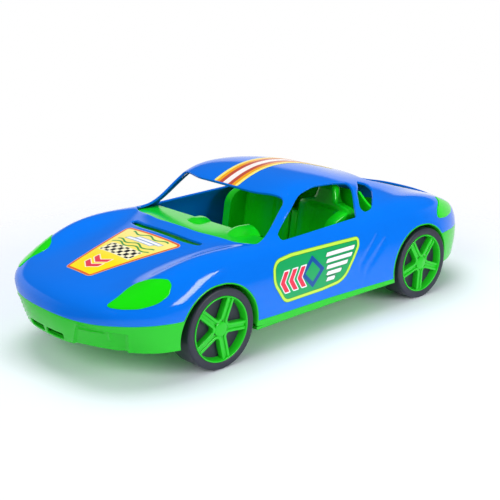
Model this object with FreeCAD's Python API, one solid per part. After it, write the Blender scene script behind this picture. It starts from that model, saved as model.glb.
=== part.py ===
import FreeCAD, Part
import math
import os

os.makedirs("parts", exist_ok=True)
V = FreeCAD.Vector

# Toy sports coupe, moulded in plastic. Millimetres, nose towards -Y, left side +X, ground at Z = 0.
# A blue one-piece body shell stands on a green base that carries two steel axle rods.

# Overall sizes
front_overhang = 92.0
wheelbase = 222.0
rear_overhang = 90.0
body_width = 172.0
roof_height = 119.0

# Moulded walls
body_wall = 2.2
floor_height = 20.4
floor_thickness = 2.2
end_floor_height = 27.2
floor_front_reach = 36.2
floor_rear_reach = 32.7

# Wheels and axles
tyre_radius = 30.4
tyre_width = 23.0
tyre_shoulder = 1.5
tyre_wall = 3.2
tyre_bore = 24.6
tyre_outer_face = 85.2
web_depth = 6.0
web_thickness = 2.4
hub_radius = 7.0
axle_radius = 2.0
axle_head_radius = 2.7
axle_head_length = 1.6
running_clearance = 0.05
end_play = 0.4
seat_clearance = 0.05

# Rim insert
rim_depth = 5.4
rim_ring = 2.4
rim_lip = 1.0
rim_lip_height = 0.6
spoke_count = 5
spoke_phase_front = 65.6
spoke_phase_rear = 50.4
spoke_half_width = 3.3
spoke_ridge = 2.1
spoke_ridge_height = 1.1
spoke_drop = 0.5
window_corner = 2.6
rim_hub_radius = 5.6

# Wheel arches: how far the opening's two rounds stand from the axle, and their radius
front_arch = (-2.5, 0.7, 33.9)
rear_arch = (-2.7, -1.7, 34.6)
arch_liner = 1.0
arch_inner_face = 57.0
arch_wall = 2.0
arch_gap = 0.1
axle_boss_length = 9.0
axle_boss_radius = 4.6

# Lamps and labels
lamp_rise = 0.5
label_thickness = 0.3
label_seat = 0.3
bumper_panel_depth = 0.8

# Cabin
seat_centre = 35.5
seat_back_width = 59.0
seat_back_thickness = 11.0
seat_back_foot = 32.0
seat_recline = 9.0
seat_shoulder_height = 86.5
seat_shoulder_drop = 3.5
headrest_foot_width = 24.0
headrest_top_width = 16.0
headrest_height = 103.0
seat_panel_width = 30.0
seat_panel_depth = 3.0
seat_bolster_depth = 18.0
seat_bolster_width = 9.0
seat_step_width = 5.0
seat_step_height = 72.5
cushion_length = 52.0
cushion_top = 46.5
bulkhead_station = 62.0
bulkhead_height = 95.5
bulkhead_thickness = 2.2
dash_height = 79.0
dash_front_height = 76.2
dash_front = -101.0
dash_bend = -70.0
dash_back = -42.0
dash_thickness = 2.2
hood_radius = 15.0
hood_rise = 4.5
hood_length = 19.0
hood_overhang = 4.0
cabin_clearance = 0.3

# Places that follow from the sizes above
body_length = front_overhang + wheelbase + rear_overhang
nose_y = -body_length / 2
front_axle_y = nose_y + front_overhang
rear_axle_y = front_axle_y + wheelbase
axle_height = tyre_radius
half_width = body_width / 2

# The body's pole net and outlines are drawn for a car of these sizes, and stretched to the ones above
drawn_front, drawn_base, drawn_rear = 92.0, 222.0, 90.0
drawn_half_width, drawn_roof, drawn_axle = 86.0, 119.0, 30.4
drawn_front_axle = -(drawn_front + drawn_base + drawn_rear) / 2 + drawn_front
drawn_rear_axle = drawn_front_axle + drawn_base
net_bottom = 10.0


def across(x):
    return x * half_width / drawn_half_width


def along(y):
    """Stretch a drawn station: each overhang and the wheelbase by its own factor."""
    if y < drawn_front_axle:
        return front_axle_y + (y - drawn_front_axle) * front_overhang / drawn_front
    if y > drawn_rear_axle:
        return rear_axle_y + (y - drawn_rear_axle) * rear_overhang / drawn_rear
    return front_axle_y + (y - drawn_front_axle) * wheelbase / drawn_base


def up(z):
    """Stretch a drawn height above the axles; below them it stays."""
    if z < drawn_axle:
        return z * axle_height / drawn_axle
    return axle_height + (z - drawn_axle) * (roof_height - axle_height) / (drawn_roof - drawn_axle)


# Pole net of the body surface. A row runs across the car, a column along it, and each row lists its
# poles from the centreline out to the sill: centre, panel, crease, valley, crest or waist, shoulder,
# widest line, flank and bottom edge. The rows wrap round the nose and the tail.
net = [
    [(0, -194, 10), (24, -193.5, 10), (44, -182, 10), (58, -170, 10), (71, -161, 10),
     (79.5, -148, 10), (83.5, -134, 10), (84, -118, 10), (84, -107, 10)],
    [(0, -203, 30), (26, -202.5, 30), (47, -189, 30), (62, -174.5, 30), (77, -165, 30),
     (83.8, -148, 31), (86, -132, 32), (86, -115, 30), (84, -98, 10)],
    [(0, -204.7, 50), (26, -204.2, 50), (51.5, -200.8, 50), (69.5, -190.3, 50.5), (81.2, -170.8, 52),
     (85, -148, 53), (86.5, -129, 52), (86.5, -109, 42), (84, -86, 10)],
    [(0, -197.8, 61), (26, -196.3, 61), (49.5, -191.8, 61.5), (64.2, -181.3, 63), (74.5, -162, 66.5),
     (82, -142, 68), (86.5, -120, 62), (86.5, -99, 45), (84.5, -74, 10)],
    [(0, -180, 66), (24, -179, 65.5), (44, -174.5, 65.5), (58, -165.5, 69), (69, -149, 76.8),
     (79.5, -131, 75.5), (86, -108, 65), (87, -86, 46), (85, -62, 10)],
    [(0, -154, 71.8), (23, -153, 70.8), (42, -150, 70.3), (56, -143, 73.5), (67, -131, 83.5),
     (78.5, -116, 80), (86, -96, 67), (87, -74, 46), (85, -50, 10)],
    [(0, -121, 77.5), (23, -120, 77), (42, -117, 76), (56, -113, 77.5), (67.5, -105, 85.3),
     (78.5, -95, 81.5), (86, -79, 67), (86.5, -60, 46), (84.5, -38, 10)],
    [(0, -93, 81.7), (24, -92, 81.2), (45, -88, 80.2), (59, -83, 80.7), (69.5, -77, 83),
     (79, -71, 80.5), (85, -59, 67), (85.5, -45, 46), (84, -27, 10)],
    [(0, -76, 83.5), (25, -75, 83.5), (47, -70, 83), (62, -65, 81), (72, -59, 81.5),
     (79.5, -53, 79), (84.5, -43, 66), (85, -31, 46), (83.5, -16, 10)],
    [(0, -29, 112), (25, -28.5, 112.5), (50.5, -27, 114.5), (66, -24.5, 110.5), (71.5, -22.5, 87),
     (79, -21, 77.5), (84, -17, 65), (84.5, -11, 46), (83, -4, 10)],
    [(0, 2, 120.6), (26, 2, 120.4), (51.5, 2.5, 117.4), (63, 3, 109.5), (72, 4, 85),
     (79.5, 5, 76.5), (84, 6, 64), (84.5, 8, 46), (83, 10, 10)],
    [(0, 36, 118.2), (25, 36, 117.7), (48.5, 36, 112.7), (60, 37, 103.2), (70.5, 38, 86),
     (79, 39, 78.5), (84, 40, 66), (85, 39, 46), (83.5, 26, 10)],
    [(0, 72, 106.7), (23, 72, 106.2), (44, 71, 102.2), (56, 70, 95.7), (65, 69, 88),
     (76, 68, 85), (84.5, 66, 71), (86, 62, 46), (84, 44, 10)],
    [(0, 106, 97), (22, 106, 96.5), (41, 105, 94.5), (52, 103, 89.5), (63, 101, 88.5),
     (75.5, 99, 87), (85.5, 94, 73), (87, 84, 48), (84.5, 61, 10)],
    [(0, 146, 84.5), (21, 145, 84), (39, 143, 81.5), (51, 140, 82), (64, 135, 84.5),
     (76.5, 128, 84), (86.5, 117, 71), (87.5, 102, 48), (85.5, 76, 10)],
    [(0, 183, 71.8), (22, 182, 71.8), (39, 178, 71.3), (53, 172, 71.8), (67, 160, 76),
     (77.5, 146, 76.5), (86, 133, 67), (87, 116, 46), (85, 89, 10)],
    [(0, 200, 64), (24, 198.5, 64), (44, 193, 64), (59, 184, 65), (71, 170, 67.5),
     (80, 155, 66), (85.5, 139, 58), (86.5, 126, 43), (84.5, 99, 10)],
    [(0, 203, 49), (26, 201.5, 49), (48, 196, 49), (64, 186, 49), (75.5, 171, 49),
     (82.5, 154, 48), (85.5, 140, 46), (86, 128, 38), (84, 107, 10)],
    [(0, 201, 30), (26, 199.5, 30), (47, 194, 30), (63, 184, 30), (74.5, 169, 30),
     (81, 153, 30), (84.5, 140, 28), (85, 129, 26), (83.5, 112, 10)],
    [(0, 195, 10), (24, 194, 10), (45, 188, 10), (61, 178, 10), (73, 164, 10),
     (80, 150, 10), (83, 138, 10), (84, 126, 10), (84, 115, 10)],
]


def body_surface():
    rows = []
    for row in net:
        half = [V(across(x), along(y), up(z)) for x, y, z in row]
        rows.append([V(-p.x, p.y, p.z) for p in half[:0:-1]] + half)
    return clamped_cubic(rows)


def clamped_cubic(rows):
    surface = Part.BSplineSurface()
    counts = [len(rows), len(rows[0])]
    knots = [[float(k) for k in range(n - 2)] for n in counts]
    mults = [[4] + [1] * (n - 4) + [4] for n in counts]
    surface.buildFromPolesMultsKnots(
        rows, mults[0], mults[1], knots[0], knots[1], False, False, 3, 3)
    return surface


def offset_rows(surface, distance, bottom):
    """Poles of the surface moved along its normals, with the bottom edge put at a new height."""
    poles = surface.getPoles()
    rows, columns = len(poles), len(poles[0])
    last_u, last_v = rows - 3, columns - 3
    edge = 0.02

    def greville(index, count):
        knots = [0] * 4 + list(range(1, count - 3)) + [count - 3] * 4
        value = sum(knots[index + 1:index + 4]) / 3.0
        return min(max(value, edge), count - 3 - edge)

    moved = []
    for i in range(rows):
        line = []
        for j in range(columns):
            u, v = greville(i, rows), greville(j, columns)
            p = surface.value(u, v)
            n = surface.normal(u, v)
            outwards = V(p.x, p.y * 0.3, p.z - axle_height)
            if n.dot(outwards) < 0:
                n = n * -1
            q = poles[i][j] + n * distance
            if i in (0, rows - 1) or j in (0, columns - 1):
                q.z = bottom
            line.append(q)
        moved.append(line)
    return moved


def solid_under(surface):
    """Closed solid between a body surface and the flat plane through its bottom edge."""
    skin = surface.toShape()
    floor = Part.Face(Part.Wire(Part.__sortEdges__(skin.Edges)))
    solid = Part.makeSolid(Part.makeShell([skin, floor]))
    if solid.Volume < 0:
        solid.reverse()
    return solid


def rounded_wire(corners, place):
    """Closed outline from corners (a, b, radius); place turns (a, b) into a point in space."""
    count = len(corners)
    edges, joints = [], []
    for k in range(count):
        a0, b0 = corners[k - 1][:2]
        a1, b1, radius = corners[k]
        a2, b2 = corners[(k + 1) % count][:2]
        p0, p1, p2 = place(a0, b0), place(a1, b1), place(a2, b2)
        back = (p0 - p1).normalize()
        on = (p2 - p1).normalize()
        half = back.getAngle(on) / 2
        reach = min(radius / math.tan(half), 0.48 * p0.distanceToPoint(p1), 0.48 * p2.distanceToPoint(p1))
        radius = reach * math.tan(half)
        start, end = p1 + back * reach, p1 + on * reach
        bisector = (back + on).normalize()
        middle = p1 + bisector * (radius / math.sin(half) - radius)
        joints.append((start, middle, end))
    for k in range(count):
        start, middle, end = joints[k]
        edges.append(Part.Arc(start, middle, end).toShape())
        following = joints[(k + 1) % count][0]
        if end.distanceToPoint(following) > 1e-4:
            edges.append(Part.LineSegment(end, following).toShape())
    return Part.Wire(edges)


def side_prism(corners, x_from, x_to):
    """Prism across the car from an outline drawn in the side view, as (station, height, radius)."""
    wire = rounded_wire(corners, lambda a, b: V(across(x_from), along(a), up(b)))
    return Part.Face(wire).extrude(V(across(x_to) - across(x_from), 0, 0))


def top_prism(corners, z_from, z_to):
    """Prism up through the car from an outline drawn in the top view, as (x, station, radius)."""
    wire = rounded_wire(corners, lambda a, b: V(across(a), along(b), up(z_from)))
    return Part.Face(wire).extrude(V(0, 0, up(z_to) - up(z_from)))


def mirrored(shape):
    return shape.mirror(V(0, 0, 0), V(1, 0, 0))


def both_sides(corners):
    """Top-view outline from its left half, listed from front to rear."""
    return corners + [(-x, y, r) for x, y, r in corners[::-1]]


def x_cylinder(radius, x_from, x_to, y, z):
    return Part.makeCylinder(radius, x_to - x_from, V(x_from, y, z), V(1, 0, 0))


# Outlines of the openings and of what sits on the body
side_window = [(-48.8, 80.2, 2.5), (-13.5, 107.6, 25), (8, 110.2, 60), (34, 107.4, 60), (57, 103.1, 3),
               (39.8, 82.3, 3)]
quarter_window = [(46.8, 83.4, 2.5), (56.8, 96.2, 10), (70.5, 101.1, 3), (85.8, 96.2, 2.5), (60, 84.9, 15)]
windscreen = both_sides([(24, -80.8, 70), (62, -73.2, 40), (72.8, -67.2, 4), (61.6, -26.2, 4), (36, -33, 60)])
rear_window = both_sides([(38.5, 88, 8), (40.5, 178, 9)])
bonnet_slot = both_sides([(28, -98.2, 60), (42.5, -94.6, 2.4), (41.8, -90.2, 1.5), (28, -91.8, 60)])
headlamp = [(-188, 59.3, 1.8), (-168, 68.2, 80), (-145.5, 75.2, 3.2), (-147.5, 67.5, 5), (-166, 61, 60),
            (-180, 58.8, 20)]
headlamp_side = [(52, -191), (56.5, -178), (59, -167.5), (63, -157.5), (67.5, -149.5), (68, -138),
                 (100, -138), (100, -191)]
taillamp = [(136.5, 64.5, 3), (146.5, 79.2, 2.5), (168, 69, 4), (160.5, 62.5, 12)]
bonnet_label = both_sides([(15, -173, 3.5), (34, -102.5, 4)])
door_label = [(-62.5, 35.4, 12), (-63, 68.8, 18), (35, 70.5, 4.5), (34.2, 61.8, 9), (10.5, 36.6, 30)]
stripe_front, stripe_back, stripe_half_width = -31.2, 76.0, 14.0
intake_cell = [(1.5, 28.4, 0.8), (1.5, 33.2, 0.8), (22, 33.2, 1.5), (21, 28.4, 0.8)]
bumper_panel = [(29, 28.6, 1), (37.8, 44, 2), (67, 39.6, 1), (64.5, 33.5, 1), (60, 28.6, 1)]

# Side-view lines, as (station, height): where the blue body meets the green base, and the base's lower edge.
# The front bumper, the sill and the rear bumper follow each other, and step down and up behind the wheels.
split_line = [
    (-230, 46.5), (-185, 46.5), (-150, 45), (-110, 45),
    (-110, 28.8), (-74, 28.2), (-24, 26.8), (74, 25), (112, 24.4),
    (112, 51.5), (150, 51.5), (200, 48), (230, 48),
]
bottom_line = [
    (-230, 27), (-197, 27), (-190, 25.6), (-180, 23.5), (-155, 23.3), (-110, 23.8),
    (-110, 24.3), (-78, 24), (-50, 21.5), (-15, 20.6), (76, 21.2), (112, 21.4),
    (112, 24), (150, 24), (185, 25), (230, 25),
]


def side_region(line, far_height):
    """Everything between a side-view line and a height far above or below it, right across the car."""
    first, last = line[0][0], line[-1][0]
    points = [V(-half_width - 20, along(y), up(z)) for y, z in line]
    points += [V(-half_width - 20, along(last), far_height), V(-half_width - 20, along(first), far_height)]
    return Part.Face(Part.makePolygon(points + points[:1])).extrude(V(body_width + 40, 0, 0))


def front_prism(corners, y_from, y_to):
    """Prism along the car from an outline drawn in the front view, as (x, height, radius)."""
    wire = rounded_wire(corners, lambda a, b: V(across(a), along(y_from), up(b)))
    return Part.Face(wire).extrude(V(0, along(y_to) - along(y_from), 0))


def arch_prism(arch, axle_y, grow, x_from, x_to):
    """Left wheel opening: two half rounds joined by short flats."""
    first, second, radius = arch
    radius += grow
    y0, y1 = axle_y + first, axle_y + second
    top, low = axle_height + radius, axle_height - radius
    edges = [
        Part.Arc(V(x_from, y0, low), V(x_from, y0 - radius, axle_height), V(x_from, y0, top)).toShape(),
        Part.LineSegment(V(x_from, y0, top), V(x_from, y1, top)).toShape(),
        Part.Arc(V(x_from, y1, top), V(x_from, y1 + radius, axle_height), V(x_from, y1, low)).toShape(),
        Part.LineSegment(V(x_from, y1, low), V(x_from, y0, low)).toShape(),
    ]
    return Part.Face(Part.Wire(edges)).extrude(V(x_to - x_from, 0, 0))


arches = ((front_arch, front_axle_y), (rear_arch, rear_axle_y))


def arch_cutters():
    cutters = []
    for arch, y in arches:
        one = arch_prism(arch, y, 0, arch_inner_face, half_width + 20)
        cutters += [one, mirrored(one)]
    return cutters


def make_body(shell):
    """Blue shell: its left half with every window, slot, lamp and wheel opening cut, then the mirror image."""
    left_side = Part.makeBox(half_width + 20, 2 * body_length, 2 * roof_height,
                             V(0, -body_length, -roof_height * 0.5))
    half = shell.common(left_side).cut(side_region(split_line, -20))
    cutters = [
        side_prism(side_window, 45, 100), side_prism(quarter_window, 42, 100), side_prism(taillamp, 45, 100),
        headlamp_prism(), top_prism(windscreen, 74, 140), top_prism(rear_window, 60, 140),
        top_prism(bonnet_slot, 70, 140),
    ]
    for arch, y in arches:
        cutters.append(arch_prism(arch, y, arch_gap, arch_inner_face, half_width + 20))
    for cutter in cutters:
        half = half.cut(cutter)
    return half.fuse(mirrored(half)).removeSplitter()


def headlamp_prism():
    """Side-view leaf shape, kept to the outer side of a line that runs back from the lamp's tip."""
    points = [V(across(x), along(y), up(50)) for x, y in headlamp_side]
    keep = Part.Face(Part.makePolygon(points + points[:1])).extrude(V(0, 0, up(90) - up(50)))
    return side_prism(headlamp, 35, 100).common(keep)


def make_label(prism, seat, lifted):
    return lifted.cut(seat).common(prism)


def make_well(arch, y, outer, below):
    """Wheel well on the left: a liner that follows the opening out to the skin, closed at its inner face."""
    outside = arch_prism(arch, y, 0, arch_inner_face, half_width + 20)
    hollow = arch_prism(arch, y, -arch_liner, arch_inner_face + arch_wall, half_width + 21)
    low = Part.makeBox(200, 200, 200, V(0, y - 100, floor_height - 200))
    beyond = Part.makeBox(200, 200, 200, V(arch_inner_face + arch_wall, y - 100, 0))
    liner = outside.cut(hollow).common(outer).cut(low).cut(below.common(beyond))
    boss = x_cylinder(axle_boss_radius, arch_inner_face - axle_boss_length, arch_inner_face + arch_wall,
                      y, axle_height)
    foot = Part.makeBox(axle_boss_length, 2 * axle_boss_radius, axle_height - floor_height,
                        V(arch_inner_face - axle_boss_length, y - axle_boss_radius, floor_height))
    return liner.fuse([boss, foot])


def plate(y_from, y_to, z_from, z_to):
    """Flat slab right across the car, to be trimmed by the inside of the skin."""
    return Part.makeBox(body_width + 40, y_to - y_from, z_to - z_from, V(-half_width - 20, y_from, z_from))


def make_floor(inner):
    """Flat floor, narrow between the wheels of an axle, with raised floors in both bumpers."""
    front, rear = front_axle_y - floor_front_reach, rear_axle_y + floor_rear_reach
    top, end_top = floor_height + floor_thickness, end_floor_height + floor_thickness
    narrow = arch_inner_face + arch_wall
    between = plate(front - floor_thickness, rear + floor_thickness, floor_height, end_top)
    between = between.common(Part.makeBox(2 * narrow, 2 * body_length, end_top, V(-narrow, -body_length, 0)))
    between = between.cut(plate(front, rear, top, end_top + 1))
    middle = plate(front_axle_y + front_arch[1] + front_arch[2], rear_axle_y + rear_arch[0] - rear_arch[2],
                   floor_height, top)
    ends = [plate(nose_y - 20, front, end_floor_height, end_top),
            plate(rear, -nose_y + 20, end_floor_height, end_top)]
    return between.fuse([middle] + ends).common(inner)


def make_chassis(outer, inner, shell, panel_skin):
    """Green base: bumpers and sills, floor, wheel wells and axle bosses in one moulding."""
    below = side_region(bottom_line, -20)
    cell = front_prism(intake_cell, -230, -188)
    panel = front_prism(bumper_panel, -230, -160).common(panel_skin)
    skin = shell.cut(side_region(split_line, roof_height + 40))
    skin = skin.cut([below, cell, mirrored(cell), panel, mirrored(panel)])
    base = skin.fuse(make_floor(inner)).cut(arch_cutters())
    wells = []
    for arch, y in arches:
        well = make_well(arch, y, outer, below)
        wells += [well, mirrored(well)]
    rods = []
    for arch, y in arches:
        rods.append(x_cylinder(axle_radius + running_clearance, -arch_inner_face - 20,
                               arch_inner_face + 20, y, axle_height))
    return base.fuse(wells).cut(rods).removeSplitter()


hub_inner_x = arch_inner_face + arch_wall + end_play
web_outer_x = tyre_outer_face - web_depth
rod_half_length = web_outer_x - web_thickness - end_play


def make_axle(y):
    """Steel rod through both bosses, with a snap head inside each wheel hub."""
    rod = x_cylinder(axle_radius, -rod_half_length, rod_half_length, y, axle_height)
    head = x_cylinder(axle_head_radius, rod_half_length - axle_head_length, rod_half_length, y, axle_height)
    return rod.fuse([head, mirrored(head)])


def revolved(profile, y):
    """Ring about the axle from (x, radius) points."""
    points = [V(x, y, axle_height + r) for x, r in profile]
    face = Part.Face(Part.makePolygon(points + points[:1]))
    return face.revolve(V(0, y, axle_height), V(1, 0, 0), 360)


def make_tyre(y):
    """Black moulded wheel: tyre, web and hub, hollow behind, with a recess for the rim insert."""
    inner_x = tyre_outer_face - tyre_width
    edge, knee = tyre_shoulder, tyre_shoulder * 0.3
    tread_in = tyre_radius - tyre_wall
    web_in = web_outer_x - web_thickness
    profile = [
        (inner_x, tread_in), (inner_x, tyre_radius - edge), (inner_x + knee, tyre_radius - knee),
        (inner_x + edge, tyre_radius), (tyre_outer_face - edge, tyre_radius),
        (tyre_outer_face - knee, tyre_radius - knee), (tyre_outer_face, tyre_radius - edge),
        (tyre_outer_face - knee, tyre_bore), (web_outer_x, tyre_bore),
        (web_outer_x, 0), (hub_inner_x, 0), (hub_inner_x, hub_radius),
        (web_in, hub_radius), (web_in, tread_in),
    ]
    wheel = revolved(profile, y)
    bore = x_cylinder(axle_radius + running_clearance, hub_inner_x - 1, rod_half_length, y, axle_height)
    pocket_x = rod_half_length - axle_head_length - running_clearance
    pocket = x_cylinder(axle_head_radius + running_clearance, pocket_x, rod_half_length + end_play,
                        y, axle_height)
    return wheel.cut(bore).cut(pocket)


def spoke_window(half_spoke, corner, x_from, x_to, y):
    """Prism between two spokes: their parallel sides meet in a round corner near the hub."""
    half_angle = math.pi / spoke_count
    apex = half_spoke / math.sin(half_angle)
    far = 1.12 * tyre_bore
    side = math.sqrt(far ** 2 - half_spoke ** 2)
    outer_y = side * math.cos(half_angle) + half_spoke * math.sin(half_angle)
    outer_z = side * math.sin(half_angle) - half_spoke * math.cos(half_angle)
    corners = [(apex, 0, corner), (outer_y, outer_z, 0.5), (outer_y, -outer_z, 0.5)]
    wire = rounded_wire(corners, lambda a, b: V(x_from, y + a, axle_height + b))
    return Part.Face(wire).extrude(V(x_to - x_from, 0, 0))


def make_rim(y, phase):
    """Green insert: ring with a thin raised lip, and a five-spoke star with a ridge round each window."""
    outer = tyre_bore - seat_clearance
    back_x = web_outer_x + seat_clearance
    front_x = back_x + rim_depth
    ring = revolved([
        (back_x, outer), (front_x, outer), (front_x + rim_lip_height, outer - 0.15),
        (front_x + rim_lip_height, outer - rim_lip), (front_x - 0.2, outer - rim_lip - 0.4),
        (back_x, outer - rim_ring),
    ], y)
    ridge_x = front_x - spoke_drop
    plate_x = ridge_x - spoke_ridge_height
    bound = outer - rim_ring * 0.5
    star = x_cylinder(bound, back_x, plate_x, y, axle_height)
    raised = x_cylinder(bound, plate_x, ridge_x, y, axle_height)
    round_corner = window_corner + spoke_ridge
    holes, grooves = [], []
    for k in range(spoke_count):
        turn = phase + (k + 0.5) * 360.0 / spoke_count
        hole = spoke_window(spoke_half_width, window_corner, back_x - 1, ridge_x + 1, y)
        ridge = spoke_window(spoke_half_width - spoke_ridge, round_corner, plate_x, ridge_x, y)
        hole.rotate(V(0, y, axle_height), V(1, 0, 0), turn)
        ridge.rotate(V(0, y, axle_height), V(1, 0, 0), turn)
        holes.append(hole)
        grooves.append(ridge.common(raised))
    hub = x_cylinder(rim_hub_radius, plate_x, ridge_x, y, axle_height)
    star = star.fuse(grooves + [hub]).cut(holes)
    return ring.fuse(star).removeSplitter()


def make_seat(inner_cabin, side):
    """Bucket seat: cushion, reclined back with a sunk panel, headrest, outer bolster and inner low step."""
    base_z = floor_height + floor_thickness
    foot = along(seat_back_foot)
    half_back = seat_back_width / 2
    half_foot, half_top = headrest_foot_width / 2, headrest_top_width / 2
    half_panel = seat_panel_width / 2
    shoulder = seat_shoulder_height - seat_shoulder_drop

    def in_front_view(a, b):
        return V(side * (seat_centre + a), foot, b)

    outline = [
        (half_top, headrest_height, 6), (half_foot, seat_shoulder_height, 4),
        (half_back, shoulder, 8), (half_back, base_z, 2),
        (-half_back - seat_step_width, base_z, 2), (-half_back - seat_step_width, seat_step_height, 3),
        (-half_back, seat_step_height, 1.5), (-half_back, shoulder, 6),
        (-half_foot, seat_shoulder_height, 4), (-half_top, headrest_height, 6),
    ]
    back = Part.Face(rounded_wire(outline, in_front_view)).extrude(V(0, seat_back_thickness, 0))
    panel = [(-half_panel, base_z, 1), (-half_panel, shoulder, 7),
             (half_panel, shoulder, 7), (half_panel, base_z, 1)]
    back = back.cut(Part.Face(rounded_wire(panel, in_front_view)).extrude(V(0, seat_panel_depth, 0)))
    rim = foot + seat_back_thickness * 0.5
    bolster = [(rim, base_z, 1), (rim, shoulder - 3, 2), (foot - 4, shoulder - 3, 12),
               (foot - seat_bolster_depth, seat_step_height, 14), (foot - seat_bolster_depth, base_z, 1)]
    outer_x = side * (seat_centre + half_back)
    wire = rounded_wire(bolster, lambda a, b: V(outer_x, a, b))
    back = back.fuse(Part.Face(wire).extrude(V(-side * seat_bolster_width, 0, 0)))
    back.rotate(V(0, foot, base_z), V(1, 0, 0), -seat_recline)
    below = Part.makeBox(400, 400, 50, V(-200, -200, base_z - 50))
    back = back.cut(below)
    front, rear = foot - cushion_length, foot + seat_back_thickness * 0.5
    cushion = [(front, base_z, 1), (front, cushion_top, 7), (rear, cushion_top - 5, 1), (rear, base_z, 1)]
    wire = rounded_wire(cushion, lambda a, b: V(side * seat_centre - half_back + 3, a, b))
    pad = Part.Face(wire).extrude(V(seat_back_width - 6, 0, 0))
    return back.fuse(pad).common(inner_cabin).removeSplitter()


def make_bulkhead(inner_cabin):
    base_z = floor_height + floor_thickness
    wall = Part.makeBox(body_width, bulkhead_thickness, bulkhead_height - base_z,
                        V(-half_width, along(bulkhead_station), base_z))
    return wall.common(inner_cabin)


def make_dashboard(inner_cabin):
    """Bent sheet: a cowl shelf under the windscreen that turns down to the floor, with an instrument hood."""
    base_z = floor_height + floor_thickness
    front, bend, back = along(dash_front), along(dash_bend), along(dash_back)
    thin = dash_thickness
    profile = [
        (front, dash_front_height, 0.5), (bend, dash_height - 0.4, 40), (back, dash_height, 4),
        (back, base_z, 0.5), (back - thin, base_z, 0.5), (back - thin, dash_height - thin, 2),
        (bend, dash_height - 0.4 - thin, 40), (front, dash_front_height - thin, 0.5),
    ]
    wire = rounded_wire(profile, lambda a, b: V(-half_width, a, b))
    sheet = Part.Face(wire).extrude(V(body_width, 0, 0))
    hood_centre = V(seat_centre, back + hood_overhang - hood_length, dash_height + hood_rise - hood_radius)
    hood = Part.makeCylinder(hood_radius, hood_length, hood_centre, V(0, 1, 0))
    low = Part.makeBox(200, 200, 100, V(-100, back - 100, dash_height - thin - 100))
    return sheet.fuse(hood.cut(low)).common(inner_cabin).removeSplitter()


def save(shape, name):
    solids = shape.Solids
    shape = solids[0] if len(solids) == 1 else Part.makeCompound(solids)
    shape.exportStep("parts/%s.step" % name)
    print(name, "solids", len(solids), "valid", shape.isValid(), "volume", round(shape.Volume, 1))


def main():
    surface = body_surface()
    outer = solid_under(surface)
    deep = up(net_bottom) - 6
    inner = solid_under(clamped_cubic(offset_rows(surface, -body_wall, deep)))
    cabin = solid_under(clamped_cubic(offset_rows(surface, -body_wall - cabin_clearance, deep)))
    seat = solid_under(clamped_cubic(offset_rows(surface, label_seat, up(net_bottom))))
    lifted = solid_under(clamped_cubic(offset_rows(surface, label_seat + label_thickness, up(net_bottom))))
    raised = solid_under(clamped_cubic(offset_rows(surface, lamp_rise, up(net_bottom))))
    sunk = solid_under(clamped_cubic(offset_rows(surface, -bumper_panel_depth, deep)))
    shell = outer.cut(inner)
    band = raised.cut(inner)

    save(make_body(shell), "body_shell")
    save(make_chassis(outer, inner, shell, outer.cut(sunk)), "chassis")
    head = band.common(headlamp_prism())
    tail = band.common(side_prism(taillamp, 45, 100))
    save(head, "headlamp_left")
    save(mirrored(head), "headlamp_right")
    save(tail, "taillamp_left")
    save(mirrored(tail), "taillamp_right")

    save(make_label(top_prism(bonnet_label, 60, 140), seat, lifted), "bonnet_label")
    door = make_label(side_prism(door_label, 60, 100), seat, lifted)
    save(door, "door_label_left")
    save(mirrored(door), "door_label_right")
    stripes = Part.makeBox(2 * stripe_half_width, along(stripe_back) - along(stripe_front), 60,
                           V(-stripe_half_width, along(stripe_front), roof_height - 40))
    save(make_label(stripes, seat, lifted), "roof_stripes")

    save(make_dashboard(cabin), "dashboard")
    save(make_seat(cabin, 1), "seat_left")
    save(make_seat(cabin, -1), "seat_right")
    save(make_bulkhead(cabin), "rear_bulkhead")

    ends = (("front", front_axle_y, spoke_phase_front), ("rear", rear_axle_y, spoke_phase_rear))
    for end, y, phase in ends:
        save(make_axle(y), "%s_axle" % end)
        tyre, rim = make_tyre(y), make_rim(y, phase)
        save(tyre, "tyre_%s_left" % end)
        save(mirrored(tyre), "tyre_%s_right" % end)
        save(rim, "rim_%s_left" % end)
        save(mirrored(rim), "rim_%s_right" % end)


main()
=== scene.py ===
"""Toy sports coupe: a blue moulded shell on a green base, with five-spoke wheels, dressed on the frame.

Shapes are drawn in millimetres and put into the meshes in metres. Nose towards -Y, left side +X.
"""
import math

import bpy
import numpy as np
from mathutils import Matrix


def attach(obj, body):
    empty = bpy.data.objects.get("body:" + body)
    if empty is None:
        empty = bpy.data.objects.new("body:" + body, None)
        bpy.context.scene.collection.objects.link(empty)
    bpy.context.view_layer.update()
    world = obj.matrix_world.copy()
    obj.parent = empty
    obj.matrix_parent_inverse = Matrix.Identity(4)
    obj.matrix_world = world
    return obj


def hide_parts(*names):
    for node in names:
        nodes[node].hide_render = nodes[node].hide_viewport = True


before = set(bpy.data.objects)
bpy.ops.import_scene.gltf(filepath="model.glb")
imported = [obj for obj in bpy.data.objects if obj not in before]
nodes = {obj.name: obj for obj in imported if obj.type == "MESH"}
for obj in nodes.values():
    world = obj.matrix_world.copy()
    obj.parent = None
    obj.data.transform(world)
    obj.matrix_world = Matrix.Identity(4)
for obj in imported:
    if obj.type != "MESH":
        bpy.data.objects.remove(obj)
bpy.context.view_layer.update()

MM = 0.001

# Shell: its wall, the rounding of its cut edges, and the axles' stations and height
WALL, EDGE = 2.2, 0.5
FRONT_AXLE, REAR_AXLE, AXLE_HEIGHT = -110.0, 112.0, 30.4

# Wheel openings: stations of the two rounds' centres, their radius, and the wells' inner face
FRONT_ARCH = (FRONT_AXLE - 2.5, FRONT_AXLE + 0.7, 33.9)
REAR_ARCH = (REAR_AXLE - 2.7, REAR_AXLE - 1.7, 34.6)
ARCH_INNER, ARCH_WALL, LINER = 57.0, 2.0, 1.0

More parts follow.
